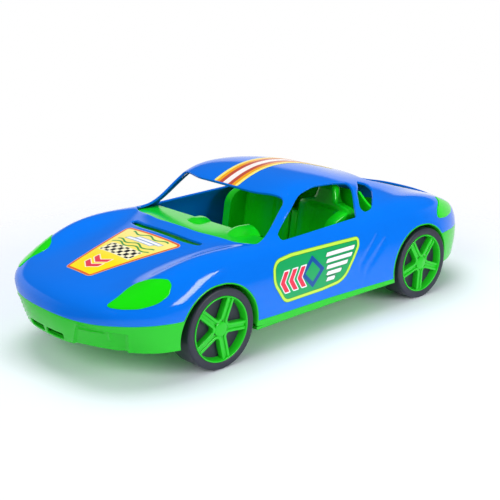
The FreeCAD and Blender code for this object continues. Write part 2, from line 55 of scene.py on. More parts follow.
# Floor plates: undersides between the wheels and in the bumpers, their thickness, and where they step
FLOOR, END_FLOOR, FLOOR_WALL = 20.4, 27.2, 2.2
FLOOR_TOP = FLOOR + FLOOR_WALL
STEP_FRONT, STEP_REAR = FRONT_AXLE - 36.2, REAR_AXLE + 32.7

# Bosses that hold the axle rods: inner and outer face, and radius
BOSS_BACK, BOSS_FACE, BOSS_RADIUS = 48.0, 58.0, 4.6

# Black wheels: the tyre, the web behind the rim and the hub round the axle
TYRE_RADIUS, TYRE_WIDTH, TYRE_FACE, TYRE_BORE = 30.4, 23.0, 85.2, 24.6
TYRE_SHOULDER, TYRE_WALL, WEB_FACE, WEB_WALL = 1.5, 3.2, 79.2, 2.4
HUB_BACK, HUB_RADIUS = 59.4, 7.0

# Green inserts: the ring, the spokes with their two ridges, and the cap over the hub
SPOKES, RIM_FACE, RIM_GAP, RIM_REACH = 5, 84.65, 0.05, 23.2
SPOKE_HALF, RIDGE, RIDGE_DROP, RIDGE_HEIGHT = 3.3, 2.1, 0.5, 1.1
WINDOW_CORNER, CAP_RADIUS = 2.6, 5.6

# Cabin: the seats' place across the car, their backs' station, and the panel behind them
SEAT_CENTRE, SEAT_BACK, BULKHEAD, CABIN_GAP = 35.5, 37.5, 62.0, 0.3

# How far a lens or film stands above the shell, how far its back lies below it, and its edge's rounding
LENS_FORM = (0.5, WALL, 0.7)
FILM_FORM = (0.2, -0.05, 0.05)

# Sizes of the patterns in the finishes, and half the width over which printed ink ends
FLOW_CLOUD, MOULD_RIPPLE, ORANGE_PEEL, DRAWN_LINE, INK_EDGE = 28.6, 1.43, 2.0, 0.333, 0.15

# Pole net of the body surface, from the centreline out to the sill, wrapped round nose and tail
NET = np.array([
    [(0, -194, 10), (24, -193.5, 10), (44, -182, 10), (58, -170, 10), (71, -161, 10),
     (79.5, -148, 10), (83.5, -134, 10), (84, -118, 10), (84, -107, 10)],
    [(0, -203, 30), (26, -202.5, 30), (47, -189, 30), (62, -174.5, 30), (77, -165, 30),
     (83.8, -148, 31), (86, -132, 32), (86, -115, 30), (84, -98, 10)],
    [(0, -204.7, 50), (26, -204.2, 50), (51.5, -200.8, 50), (69.5, -190.3, 50.5), (81.2, -170.8, 52),
     (85, -148, 53), (86.5, -129, 52), (86.5, -109, 42), (84, -86, 10)],
    [(0, -197.8, 61), (26, -196.3, 61), (49.5, -191.8, 61.5), (64.2, -181.3, 63), (74.5, -162, 66.5),
     (82, -142, 68), (86.5, -120, 62), (86.5, -99, 45), (84.5, -74, 10)],
    [(0, -180, 66), (24, -179, 65.5), (44, -174.5, 65.5), (58, -165.5, 69), (69, -149, 76.8),
     (79.5, -131, 75.5), (86, -108, 65), (87, -86, 46), (85, -62, 10)],
    [(0, -154, 71.8), (23, -153, 70.8), (42, -150, 70.3), (56, -143, 73.5), (67, -131, 83.5),
     (78.5, -116, 80), (86, -96, 67), (87, -74, 46), (85, -50, 10)],
    [(0, -121, 77.5), (23, -120, 77), (42, -117, 76), (56, -113, 77.5), (67.5, -105, 85.3),
     (78.5, -95, 81.5), (86, -79, 67), (86.5, -60, 46), (84.5, -38, 10)],
    [(0, -93, 81.7), (24, -92, 81.2), (45, -88, 80.2), (59, -83, 80.7), (69.5, -77, 83),
     (79, -71, 80.5), (85, -59, 67), (85.5, -45, 46), (84, -27, 10)],
    [(0, -76, 83.5), (25, -75, 83.5), (47, -70, 83), (62, -65, 81), (72, -59, 81.5),
     (79.5, -53, 79), (84.5, -43, 66), (85, -31, 46), (83.5, -16, 10)],
    [(0, -29, 112), (25, -28.5, 112.5), (50.5, -27, 114.5), (66, -24.5, 110.5), (71.5, -22.5, 87),
     (79, -21, 77.5), (84, -17, 65), (84.5, -11, 46), (83, -4, 10)],
    [(0, 2, 120.6), (26, 2, 120.4), (51.5, 2.5, 117.4), (63, 3, 109.5), (72, 4, 85),
     (79.5, 5, 76.5), (84, 6, 64), (84.5, 8, 46), (83, 10, 10)],
    [(0, 36, 118.2), (25, 36, 117.7), (48.5, 36, 112.7), (60, 37, 103.2), (70.5, 38, 86),
     (79, 39, 78.5), (84, 40, 66), (85, 39, 46), (83.5, 26, 10)],
    [(0, 72, 106.7), (23, 72, 106.2), (44, 71, 102.2), (56, 70, 95.7), (65, 69, 88),
     (76, 68, 85), (84.5, 66, 71), (86, 62, 46), (84, 44, 10)],
    [(0, 106, 97), (22, 106, 96.5), (41, 105, 94.5), (52, 103, 89.5), (63, 101, 88.5),
     (75.5, 99, 87), (85.5, 94, 73), (87, 84, 48), (84.5, 61, 10)],
    [(0, 146, 84.5), (21, 145, 84), (39, 143, 81.5), (51, 140, 82), (64, 135, 84.5),
     (76.5, 128, 84), (86.5, 117, 71), (87.5, 102, 48), (85.5, 76, 10)],
    [(0, 183, 71.8), (22, 182, 71.8), (39, 178, 71.3), (53, 172, 71.8), (67, 160, 76),
     (77.5, 146, 76.5), (86, 133, 67), (87, 116, 46), (85, 89, 10)],
    [(0, 200, 64), (24, 198.5, 64), (44, 193, 64), (59, 184, 65), (71, 170, 67.5),
     (80, 155, 66), (85.5, 139, 58), (86.5, 126, 43), (84.5, 99, 10)],
    [(0, 203, 49), (26, 201.5, 49), (48, 196, 49), (64, 186, 49), (75.5, 171, 49),
     (82.5, 154, 48), (85.5, 140, 46), (86, 128, 38), (84, 107, 10)],
    [(0, 201, 30), (26, 199.5, 30), (47, 194, 30), (63, 184, 30), (74.5, 169, 30),
     (81, 153, 30), (84.5, 140, 28), (85, 129, 26), (83.5, 112, 10)],
    [(0, 195, 10), (24, 194, 10), (45, 188, 10), (61, 178, 10), (73, 164, 10),
     (80, 150, 10), (83, 138, 10), (84, 126, 10), (84, 115, 10)],
], dtype=float)
POLES = np.concatenate([NET[:, :0:-1] * [-1, 1, 1], NET], axis=1)
U_END, V_END = POLES.shape[0] - 3, POLES.shape[1] - 3

# Outlines as (first, second, corner radius): side view (y, z), or the left half of the top view (x, y)
SIDE_WINDOW = [(-48.8, 80.2, 2.5), (-13.5, 107.6, 25), (8, 110.2, 60), (34, 107.4, 60), (57, 103.1, 3),
               (39.8, 82.3, 3)]
QUARTER_WINDOW = [(46.8, 83.4, 2.5), (56.8, 96.2, 10), (70.5, 101.1, 3), (85.8, 96.2, 2.5), (60, 84.9, 15)]
WINDSCREEN = [(24, -80.8, 70), (62, -73.2, 40), (72.8, -67.2, 4), (61.6, -26.2, 4), (36, -33, 60)]
REAR_WINDOW = [(38.5, 88, 8), (40.5, 178, 9)]
BONNET_SLOT = [(28, -98.2, 60), (42.5, -94.6, 2.4), (41.8, -90.2, 1.5), (28, -91.8, 60)]
HEADLAMP = [(-187, 59, 1.5), (-187, 66, 1), (-168, 78, 20), (-146.8, 82, 2), (-146.8, 70.5, 3),
            (-151.5, 64.4, 8), (-160.5, 60.3, 20), (-172, 58.2, 30), (-181.5, 58.4, 20)]
HEADLAMP_SIDE = [(56, -187.3, 1.5), (57.4, -178, 20), (55.6, -168, 14), (55.8, -161.5, 7), (60.5, -156.4, 8),
                 (68, -151.6, 14), (73.6, -146.4, 4), (100, -146.4, 1), (100, -187.3, 1)]
TAILLAMP = [(130.6, 67.6, 3), (134, 73.8, 6), (145.5, 79.4, 2.5), (168, 69.5, 4), (159.5, 64.6, 12),
            (144, 63.9, 20), (134.5, 65.2, 4)]
BONNET_LABEL = [(15, -173, 3.5), (34, -102.5, 4)]
DOOR_LABEL = [(-49, 34.6, 9), (-60.8, 52.5, 16), (-59.8, 69.6, 11), (-40, 71.4, 20), (34.4, 69.8, 4.5),
              (34.4, 62, 9), (17, 36.4, 20), (-8, 34.4, 30)]
STRIPE_FRONT, STRIPE_BACK, STRIPE_HALF = -32.2, 76.0, 14.0
INTAKE_CELL = [(1.5, 28.4, 0.8), (1.5, 33.2, 0.8), (22, 33.2, 1.5), (21, 28.4, 0.8)]
BUMPER_PANEL = [(29, 26, 1), (37.8, 44, 2), (67, 39.6, 1), (64.5, 33.5, 1), (60, 22, 1)]

# Side-view lines (station, height) for the front bumper, the sill and the rear bumper
SPLIT_LINES = [[(-230, 46.5), (-185, 46.5), (-150, 45), (-110, 45)],
               [(-110, 28.8), (-74, 28.2), (-24, 26.8), (74, 25), (112, 24.4)],
               [(112, 51.5), (150, 51.5), (200, 48), (230, 48)]]
BOTTOM_LINES = [[(-230, 27), (-197, 27), (-190, 25.6), (-180, 23.5), (-155, 23.3), (-110, 23.8)],
                [(-110, 24.3), (-78, 24), (-50, 21.5), (-15, 20.6), (76, 21.2), (112, 21.4)],
                [(112, 24), (150, 24), (185, 25), (230, 25)]]


def basis(count, t):
    """Cubic B-spline weights of each pole at t, by the Cox-de Boor recursion on clamped uniform knots."""
    knots = np.concatenate([np.zeros(3), np.arange(count - 2), np.full(3, count - 3)])
    t = np.clip(t, 0, count - 3 - 1e-9)[:, None]
    weight = ((knots[:-1] <= t) & (t < knots[1:])).astype(float)
    for degree in (1, 2, 3):
        rise = knots[degree:-1] - knots[:-degree - 1]
        fall = knots[degree + 1:] - knots[1:-degree]
        up = np.where(rise > 0, (t - knots[:-degree - 1]) / np.maximum(rise, 1e-9), 0)
        down = np.where(fall > 0, (knots[degree + 1:] - t) / np.maximum(fall, 1e-9), 0)
        weight = up * weight[:, :-1] + down * weight[:, 1:]
    return weight


def surface(u, v):
    """Body surface at (u, v): the pole net weighted by the two rows of B-spline weights."""
    along = basis(POLES.shape[0], u) @ POLES.reshape(POLES.shape[0], -1)
    rows = along.reshape(len(u), POLES.shape[1], 3)
    return (rows * basis(POLES.shape[1], v)[:, :, None]).sum(1)


def slopes(u, v, step=0.01):
    """Partial derivatives of the surface by central differences, kept inside its ends."""
    u0, u1 = np.clip(u - step, 0, U_END), np.clip(u + step, 0, U_END)
    v0, v1 = np.clip(v - step, 0, V_END), np.clip(v + step, 0, V_END)
    du = (surface(u1, v) - surface(u0, v)) / (u1 - u0)[:, None]
    dv = (surface(u, v1) - surface(u, v0)) / (v1 - v0)[:, None]
    return du, dv


def unit(a):
    """Vectors divided by their own length."""
    return a / np.maximum(np.linalg.norm(a, axis=-1, keepdims=True), 1e-12)


def fade(x, width):
    """Smooth step down from one to zero: the logistic curve of x over the width."""
    return 1 / (1 + np.exp(np.clip(x / width, -30, 30)))


def bell(x, width):
    """Smooth ridge of height one: e to the power of minus the square of x over the width."""
    return np.exp(-(x / width) ** 2)


def normals(u, v):
    """Outward unit normals: across the car times along it."""
    du, dv = slopes(u, v)
    return unit(np.cross(dv, du))


def rounded(corners, steps=8):
    """Closed outline with round corners: each corner is an arc that touches both of its sides."""
    c = np.array(corners, dtype=float)
    p, radius = c[:, :2], c[:, 2]
    before, after = np.roll(p, 1, 0) - p, np.roll(p, -1, 0) - p
    lengths = np.linalg.norm(before, axis=1), np.linalg.norm(after, axis=1)
    a, b = unit(before), unit(after)
    half = np.arccos(np.clip((a * b).sum(1), -1, 1)) / 2
    reach = np.minimum(radius / np.tan(half), 0.48 * np.minimum(*lengths))
    radius = reach * np.tan(half)
    centre = p + unit(a + b) * (radius / np.sin(half))[:, None]
    start, end = p + a * reach[:, None] - centre, p + b * reach[:, None] - centre
    t = np.linspace(0, 1, steps + 1)[None, :, None]
    arc = start[:, None] * (1 - t) + end[:, None] * t
    return (centre[:, None] + unit(arc) * radius[:, None, None]).reshape(-1, 2)


def both_sides(half):
    """Whole top-view outline from its left half."""
    return half + [(-x, y, r) for x, y, r in half[::-1]]


def outline_distance(points, outline):
    """Signed distance from 2-D points to a closed outline: positive outside, negative inside."""
    a, b = outline, np.roll(outline, -1, 0)
    edge = b - a
    rel = points[:, None] - a[None]
    t = np.clip((rel * edge).sum(2) / np.maximum((edge ** 2).sum(1), 1e-12), 0, 1)
    gap = np.linalg.norm(rel - t[..., None] * edge, axis=2).min(1)
    crosses = (a[:, 1] > points[:, None, 1]) != (b[:, 1] > points[:, None, 1])
    rise = np.where(np.abs(edge[:, 1]) < 1e-12, 1e-12, edge[:, 1])
    at = a[:, 0] + (points[:, None, 1] - a[:, 1]) * edge[:, 0] / rise
    inside = (crosses & (points[:, None, 0] < at)).sum(1) % 2 == 1
    return np.where(inside, -gap, gap)


def shape(corners, axes, floor_axis=None, floor=0.0, sign=0):
    """Distance function of a prism: its outline in two axes, cut off at a height or at one side."""
    outline = rounded(corners)
    low, high = outline.min(0) - 8, outline.max(0) + 8

    def distance(p):
        flat = p[:, axes]
        far = np.full(len(p), 8.0)
        near = ((flat > low) & (flat < high)).all(1)
        if near.any():
            far[near] = outline_distance(flat[near], outline)
        if floor_axis is not None:
            height = np.abs(p[:, 0]) if floor_axis == 0 else p[:, 2]
            far = np.maximum(far, floor - height)
        if sign:
            far = np.maximum(far, -sign * p[:, 0])
        return far
    return distance


side_window = shape(SIDE_WINDOW, [1, 2], 0, 45)
quarter_window = shape(QUARTER_WINDOW, [1, 2], 0, 42)
windscreen = shape(both_sides(WINDSCREEN), [0, 1], 2, 74)
rear_window = shape(both_sides(REAR_WINDOW), [0, 1], 2, 60)
bonnet_slot = shape(both_sides(BONNET_SLOT), [0, 1], 2, 70)
bonnet_label = shape(both_sides(BONNET_LABEL), [0, 1], 2, 60)
door_label = shape(DOOR_LABEL, [1, 2], 0, 60)
taillamp = shape(TAILLAMP, [1, 2], 0, 45)
intake_outline = shape(INTAKE_CELL, [0, 2])
panel_outline = shape(BUMPER_PANEL, [0, 2])
headlamp_leaf = shape(HEADLAMP, [1, 2], 0, 35)
headlamp_keep = shape(HEADLAMP_SIDE, [0, 1])


def left_half(p):
    """Points folded over onto the left side."""
    return np.hstack([np.abs(p[:, :1]), p[:, 1:]])


def headlamp(p):
    """Leaf-shaped lamp: the larger of its distances in the side view and in the top view."""
    return np.maximum(headlamp_leaf(p), headlamp_keep(left_half(p)))


def intake(p):
    """Two open cells low in the front bumper, either side of a middle rib."""
    return np.maximum(intake_outline(left_half(p)), p[:, 1] + 180)


def arches(p):
    """Distance outside the nearer wheel opening, for points outboard of the wells."""
    gaps = []
    for first, second, radius in (FRONT_ARCH, REAR_ARCH):
        along = p[:, 1] - np.clip(p[:, 1], first, second)
        gaps.append(np.hypot(along, p[:, 2] - AXLE_HEIGHT) - radius)
    return np.maximum(np.minimum(*gaps), ARCH_INNER - np.abs(p[:, 0]))


def line_height(lines, y):
    """Height of a three-part side-view line: it steps at both axles."""
    front, sill, rear = (np.interp(y, *np.transpose(line)) for line in lines)
    return np.where(y < FRONT_AXLE, front, np.where(y > REAR_AXLE, rear, sill))


def above_split(p):
    """Height above the line between the blue shell and the green base."""
    return p[:, 2] - line_height(SPLIT_LINES, p[:, 1])


def gradient(field, u, v, value, step=1e-3):
    """Slopes of a field of (u, v) by forward differences from its known value."""
    return (field(u + step, v) - value) / step, (field(u, v + step) - value) / step


def kept(cut, margin):
    """The cut's distance as measured along the surface, less a margin, as a function of (u, v).

    A flat outline's distance grows more slowly along a skin that leans away from the outline's view, so
    the margin is scaled by the length of the distance's gradient on the surface.
    """
    def flat(u, v):
        return cut(surface(u, v))

    def distance(u, v):
        g = flat(u, v)
        near = np.abs(g) < 3
        shift = np.where(near, 0, margin)
        if near.any():
            uu, vv = u[near], v[near]
            gu, gv = gradient(flat, uu, vv, g[near])
            du, dv = slopes(uu, vv)
            e, f, k = (du * du).sum(1), (du * dv).sum(1), (dv * dv).sum(1)
            squared = (gu ** 2 * k - 2 * gu * gv * f + gv ** 2 * e) / np.maximum(e * k - f ** 2, 1e-9)
            shift[near] = margin * np.clip(np.sqrt(np.maximum(squared, 0)), 0.03, 1.2)
        return g - shift
    return distance


def snap(u, v, cuts, chosen, k, owner, reach=0.15):
    """Moves the chosen grid points along the surface onto the zero line of cut k by Newton's method.

    A point that an earlier cut holds is moved so that it lies on both lines.
    """
    for _ in range(5):
        uu, vv, holder = u[chosen], v[chosen], owner[chosen]
        g = cuts[k](uu, vv)
        gu, gv = gradient(cuts[k], uu, vv, g)
        size = np.maximum(gu ** 2 + gv ** 2, 1e-6)
        du, dv = -g * gu / size, -g * gv / size
        for j in np.unique(holder[holder >= 0]):
            held = holder == j
            h = cuts[j](uu[held], vv[held])
            hu, hv = gradient(cuts[j], uu[held], vv[held], h)
            det = gu[held] * hv - gv[held] * hu
            det = np.where(np.abs(det) < 30, np.inf, det)
            du[held] = (-g[held] * hv + h * gv[held]) / det
            dv[held] = (-h * gu[held] + g[held] * hu) / det
        u[chosen] = np.clip(uu + np.clip(du, -reach, reach), 0, U_END)
        v[chosen] = np.clip(vv + np.clip(dv, -reach, reach), 0, V_END)


def trimmed(us, vs, cuts):
    """Grid on the body surface with clean edges: points next to a cut's line are moved onto it.

    Returns the (u, v) of every point and the faces whose corners all lie on the kept side.
    """
    nu, nv = len(us), len(vs)
    u, v = (a.ravel().copy() for a in np.meshgrid(us, vs, indexing="ij"))
    index = np.arange(nu * nv).reshape(nu, nv)
    a = np.concatenate([index[:-1].ravel(), index[:, :-1].ravel()])
    b = np.concatenate([index[1:].ravel(), index[:, 1:].ravel()])
    owner = np.full(nu * nv, -1)
    sides = []
    for k, cut in enumerate(cuts):
        g = cut(u, v)
        crossing = (g[a] > 0) != (g[b] > 0)
        ga, gb = g[a[crossing]], g[b[crossing]]
        chosen = np.unique(np.where(np.abs(ga) < np.abs(gb), a[crossing], b[crossing]))
        if len(chosen):
            snap(u, v, cuts, chosen, k, owner)
            owner[chosen] = k
        side = np.sign(g)
        side[chosen] = 0
        sides.append(side)
    quads = np.stack([index[:-1, :-1], index[:-1, 1:], index[1:, 1:], index[1:, :-1]], -1).reshape(-1, 4)
    sides = np.array(sides)
    corner = sides[:, quads]
    whole = ~(corner < 0).any((0, 2)) & ~(corner == 0).all(2).any(0)
    mixed = (corner < 0).any(2) & (corner > 0).any(2)
    halves = []
    for first in (0, 1):
        ring = (np.arange(4) + first) % 4
        q = quads[:, ring]
        c = sides[:, q]
        fits = mixed.any(0) & (c[:, :, 0][mixed.argmax(0), np.arange(len(q))] == 0)
        fits &= c[:, :, 2][mixed.argmax(0), np.arange(len(q))] == 0
        for tri in ([0, 1, 2], [0, 2, 3]):
            good = fits & ~(c[:, :, tri] < 0).any((0, 2))
            halves.append(q[good][:, tri])
    return u, v, quads[whole], np.concatenate(halves)


def moulding(us, vs, cuts, rise=0.0, wall=WALL, edge=EDGE, relief=None):
    """Closed moulded panel on the body surface: an outer and an inner skin joined by a rounded rim.

    Outer points stand the rise (plus the relief, a height function) along the normal, inner ones lie
    the wall below. The rim is a quarter circle, a straight side and a quarter circle back.
    """
    u, v, quads, tris = trimmed(us, vs, cuts)
    used, back = np.unique(np.concatenate([quads.ravel(), tris.ravel()]), return_inverse=True)
    back = back.ravel()
    u, v = u[used], v[used]
    quads = back[:quads.size].reshape(-1, 4)
    tris = back[quads.size:].reshape(-1, 3)
    point, normal = surface(u, v), normals(u, v)
    height = rise + (np.zeros(len(point)) if relief is None else relief(point))
    outer = point + normal * height[:, None]
    inner = point - normal * wall
    edges = np.concatenate([quads[:, [i, (i + 1) % 4]] for i in range(4)]
                           + [tris[:, [i, (i + 1) % 3]] for i in range(3)])
    key = np.sort(edges, 1)
    key = key[:, 0] * len(point) + key[:, 1]
    _, first, count = np.unique(key, return_index=True, return_counts=True)
    border = edges[first[count == 1]]
    out = unit(np.cross(outer[border[:, 1]] - outer[border[:, 0]], normal[border[:, 0]]))
    away = np.zeros_like(point)
    np.add.at(away, border[:, 0], out)
    np.add.at(away, border[:, 1], out)
    rim = np.unique(border)
    away = unit(away[rim])
    place = np.full(len(point), -1)
    place[rim] = np.arange(len(rim))
    depth = height[rim] + wall
    round_by = np.minimum(edge, depth * 0.45)[:, None]
    rows = []
    for skin, sign, angles in ((outer, -1, (30, 60, 90)), (inner, 1, (90, 60, 30))):
        for angle in np.radians(angles):
            across, down = round_by * math.sin(angle), round_by * (1 - math.cos(angle))
            rows.append(skin[rim] + away * across + sign * normal[rim] * down)
    total = len(point)
    levels = [rim] + [2 * total + i * len(rim) + np.arange(len(rim)) for i in range(6)] + [rim + total]
    i, j = place[border[:, 0]], place[border[:, 1]]
    strips = [np.stack([one[j], one[i], two[i], two[j]], 1) for one, two in zip(levels[:-1], levels[1:])]
    verts = np.concatenate([outer, inner] + rows)
    four = np.concatenate([quads, quads[:, ::-1] + total] + strips)
    three = np.concatenate([tris, tris[:, ::-1] + total])
    return verts, four, three


def put(name, data):
    """New object in the scene, at the origin."""
    obj = bpy.data.objects.new(name, data)
    bpy.context.scene.collection.objects.link(obj)
    return obj


def add_mesh(name, verts, quads, tris=None, smooth=40):
    """Mesh object from arrays in millimetres, shaded smooth with edges over the angle left sharp."""
    faces = quads.tolist() + ([] if tris is None else tris.tolist())
    mesh = bpy.data.meshes.new(name)
    mesh.from_pydata((verts * MM).tolist(), [], faces)
    mesh.update()
    mesh.validate()
    mesh.shade_smooth()
    mesh.set_sharp_from_angle(angle=math.radians(smooth))
    return put(name, mesh)


def linear(code):
    """sRGB hex to linear RGBA: below 0.04045 a straight line, above it a 2.4 power."""
    c = [int(code[i:i + 2], 16) / 255 for i in (1, 3, 5)]
    return [x / 12.92 if x <= 0.04045 else ((x + 0.055) / 1.055) ** 2.4 for x in c] + [1.0]


def add_node(tree, kind, links=(), **settings):
    """Adds a shader node, sets its properties and sockets, and links its inputs."""
    node = tree.nodes.new("ShaderNode" + kind)
    for key, value in settings.items():
        if hasattr(node, key):
            setattr(node, key, value)
        else:
            node.inputs[key.replace("_", " ")].default_value = value
    for socket, source in links:
        tree.links.new(source, node.inputs[socket])
    return node


def material(name):
    """Empty node material and its tree."""
    mat = bpy.data.materials.new(name)
    mat.use_nodes = True
    mat.node_tree.nodes.clear()
    return mat, mat.node_tree


def finish_material(tree, shader):
    """Joins the shader to the material's output."""
    add_node(tree, "OutputMaterial", [("Surface", shader.outputs[0])])


def moulded_plastic(name, code, shade, roughness, grain=0.02, specular=0.4):
    """Injection-moulded plastic: an even colour with faint flow clouds and the mould's fine ripple."""
    mat, tree = material(name)
    where = add_node(tree, "TexCoord").outputs["Object"]
    # Flow clouds come from the pigment in the melt
    cloud = add_node(tree, "TexNoise", [("Vector", where)], Scale=1 / (FLOW_CLOUD * MM), Detail=3.0)
    colour = add_node(tree, "Mix", [("Factor", cloud.outputs["Fac"])],
                      data_type="RGBA", A=linear(code), B=linear(shade))
    # The ripple is drawn coarser than the real polish marks so that it shows
    ripple = add_node(tree, "TexNoise", [("Vector", where)], Scale=1 / (MOULD_RIPPLE * MM), Detail=2.0)
    bump = add_node(tree, "Bump", [("Height", ripple.outputs["Fac"])],
                    Strength=grain, Distance=0.4 * MM)
    shader = add_node(tree, "BsdfPrincipled",
                      [("Base Color", colour.outputs["Result"]), ("Normal", bump.outputs["Normal"])],
                      Roughness=roughness, Specular_IOR_Level=specular)
    finish_material(tree, shader)
    return mat


def printed_film(name, front, rear, ends, layers):
    """Glossy printed film: ink areas laid over each other where a distance attribute is below a limit.

    The ground colour runs from the front colour to the rear one between two stations in millimetres.
    """
    mat, tree = material(name)
    where = add_node(tree, "TexCoord").outputs["Object"]
    split = add_node(tree, "SeparateXYZ", [("Vector", where)])
    run = add_node(tree, "MapRange", [("Value", split.outputs["Y"])],
                   From_Min=ends[0] * MM, From_Max=ends[1] * MM)
    ground = add_node(tree, "Mix", [("Factor", run.outputs["Result"])],
                      data_type="RGBA", A=linear(front), B=linear(rear))
    for key, limit, code in layers:
        gap = add_node(tree, "Attribute", attribute_name=key)
        ink = add_node(tree, "MapRange", [("Value", gap.outputs["Fac"])],
                       From_Min=limit - INK_EDGE, From_Max=limit + INK_EDGE, To_Min=1.0, To_Max=0.0)
        links = [("Factor", ink.outputs["Result"]), ("A", ground.outputs["Result"])]
        ground = add_node(tree, "Mix", links, data_type="RGBA", B=linear(code))
    # The film's adhesive shows through as a soft orange peel
    peel = add_node(tree, "TexNoise", [("Vector", where)], Scale=1 / (ORANGE_PEEL * MM), Detail=1.0)
    bump = add_node(tree, "Bump", [("Height", peel.outputs["Fac"])],
                    Strength=0.03, Distance=0.3 * MM)
    shader = add_node(tree, "BsdfPrincipled",
                      [("Base Color", ground.outputs["Result"]), ("Normal", bump.outputs["Normal"])],
                      Roughness=0.25, Specular_IOR_Level=0.35)
    finish_material(tree, shader)
    return mat


def drawn_steel():
    """Drawn steel rod: bright metal with fine lines along the rod, drawn coarse enough to show."""
    mat, tree = material("drawn_steel")
    where = add_node(tree, "TexCoord").outputs["Object"]
    across = 1 / (DRAWN_LINE * MM)
    lines = add_node(tree, "Mapping", [("Vector", where)], Scale=(across / 75, across, across))
    noise = add_node(tree, "TexNoise", [("Vector", lines.outputs[0])], Scale=1.0)
    bump = add_node(tree, "Bump", [("Height", noise.outputs["Fac"])],
                    Strength=0.1, Distance=0.2 * MM)
    shader = add_node(tree, "BsdfPrincipled", [("Normal", bump.outputs["Normal"])],
                      Metallic=1.0, Roughness=0.3, Base_Color=linear("#b8b9bc"))
    finish_material(tree, shader)
    return mat


# Polished mould: a deep even blue with narrow, sharp highlights
blue_abs = moulded_plastic("glossy_blue_ABS", "#0075ea", "#0070e4", 0.07, 0.012, 0.3)
# Plainer mould: a bright green with soft wide highlights
green_abs = moulded_plastic("glossy_green_ABS", "#26cc26", "#22c522", 0.18, 0.02, 0.35)
# Cabin mouldings: the base green painted brighter and purer, as painted light for the lit cabin; glossy
# enough to show each fold
cabin_green_painted_light = moulded_plastic("green_ABS_painted_brighter", "#14dc18", "#10d214", 0.16, 0.03, 0.5)
# Polished lens moulding: the purest green, with a mirror-like surface
lens_green = moulded_plastic("polished_green_styrene", "#16dc08", "#12d406", 0.07, 0.01, 0.4)
# Soft wheel moulding: a bluish black with a dull sheen
wheel_black = moulded_plastic("satin_black_polypropylene", "#2a2c3a", "#262834", 0.4, 0.05, 0.4)
# Printed films: flat inks with hard borders under a smooth gloss
film_bonnet = printed_film("printed_yellow_film", "#ffe400", "#ffee86", (-150, -112), [
    ("edge_gap", 2.2, "#e4602a"), ("edge_gap", 0.3, "#f0c890"), ("waves", 0.0, "#3f9a48"),
    ("flag", 0.6, "#fff6cc"), ("squares", 0.0, "#26262c"), ("dashes", 0.7, "#7f9cc8"),
    ("dashes", 0.0, "#f8f8ff"), ("arrows", 0.9, "#fff2d0"), ("arrows", 0.0, "#e83a50")])
film_door = printed_film("printed_green_film", "#12a65c", "#12a65c", (-60, 40), [
    ("edge_gap", 3.1, "#2f8a2c"), ("edge_gap", 2.6, "#c8f04c"), ("edge_gap", 0.45, "#4f9a3c"),
    ("ring", 0.0, "#0a4f9c"), ("dashes", 0.5, "#0c7a48"), ("dashes", 0.0, "#f6f8f8"),
    ("arrows", 0.9, "#f4f4f8"), ("arrows", 0.0, "#ec2f4c")])
film_roof = printed_film("printed_stripe_film", "#fff4ee", "#fff4ee", (-30, 70), [
    ("bands", -3.1, "#c4503a"), ("bands", -7.4, "#f8a818"), ("bands", -11.0, "#fff078")])
# Bare rod: bright grey metal that shows only behind the wheels
steel = drawn_steel()


def dress(obj, mat, slot, body, *replaced):
    """Gives a piece its material and body, and hides the solids it stands for. The slot is not used."""
    obj.data.materials.clear()
    obj.data.materials.append(mat)
    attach(obj, body)
    if replaced:
        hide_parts(*replaced)
    return obj


def steps(breaks, spacing):
    """Parameter values between break points, each stretch with its own spacing."""
    parts = []
    for (a, b), h in zip(zip(breaks[:-1], breaks[1:]), spacing):
        parts.append(np.linspace(a, b, max(2, int(round((b - a) / h)) + 1))[:-1])
    return np.concatenate(parts + [[breaks[-1]]])


def grooves(p):
    """Two shallow slanting grooves ahead of the rear wheel: rounded channels beside two straight lines."""
    dent = np.zeros(len(p))
    side = np.abs(p[:, 0]) > 60
    for (y0, z0), (y1, z1) in (((64.4, 60.8), (42.5, 40.3)), ((55.6, 65.9), (35.2, 45.3))):
        a, d = np.array([y0, z0]), np.array([y1 - y0, z1 - z0])
        rel = p[:, 1:] - a
        t = np.clip((rel * d).sum(1) / (d ** 2).sum(), 0, 1)
        gap = np.linalg.norm(rel - t[:, None] * d, axis=1)
        dent -= np.where(side, 1.1 * bell(gap, 1.5), 0)
    return dent


def lattice(grid, close_u=False, close_v=False):
    """Vertices and quads of a grid of points, closed round in either direction."""
    n, m = grid.shape[:2]
    rows, columns = n if close_u else n - 1, m if close_v else m - 1
    i, j = np.meshgrid(np.arange(rows), np.arange(columns), indexing="ij")
    k, l = (i + 1) % n, (j + 1) % m
    quads = np.stack([i * m + j, k * m + j, k * m + l, i * m + l], -1).reshape(-1, 4)
    return outward(grid.reshape(-1, 3), quads)


def outward(verts, quads):
    """Turns the faces outwards: the volume they enclose about their middle comes out positive."""
    p = verts - verts.mean(0)
    a, b, c, d = (p[quads[:, k]] for k in range(4))
    volume = (np.cross(a, b) * c).sum() + (np.cross(a, c) * d).sum()
    return verts, quads if volume > 0 else quads[:, ::-1]


def capped(loops):
    """Closed body through a row of loops, with flat or pointed ends at the first and last loop's middle."""
    first, last = (np.repeat(loops[k].mean(0)[None], loops.shape[1], 0) for k in (0, -1))
    return lattice(np.concatenate([first[None], loops, last[None]]), close_v=True)


def joined(parts):
    """One set of vertices and quads from several."""
    start = np.cumsum([0] + [len(v) for v, _ in parts[:-1]])
    return np.concatenate([v for v, _ in parts]), np.concatenate([q + k for (_, q), k in zip(parts, start)])


def mirrored(part):
    """The same part on the other side of the car, with its faces turned round again."""
    verts, quads = part
    return verts * [-1, 1, 1], quads[:, ::-1]


SEARCH_U, SEARCH_V = (a.ravel() for a in np.meshgrid(
    np.linspace(0, U_END, 160), np.linspace(V_END / 2, V_END, 90), indexing="ij"))
SEARCH = surface(SEARCH_U, SEARCH_V)


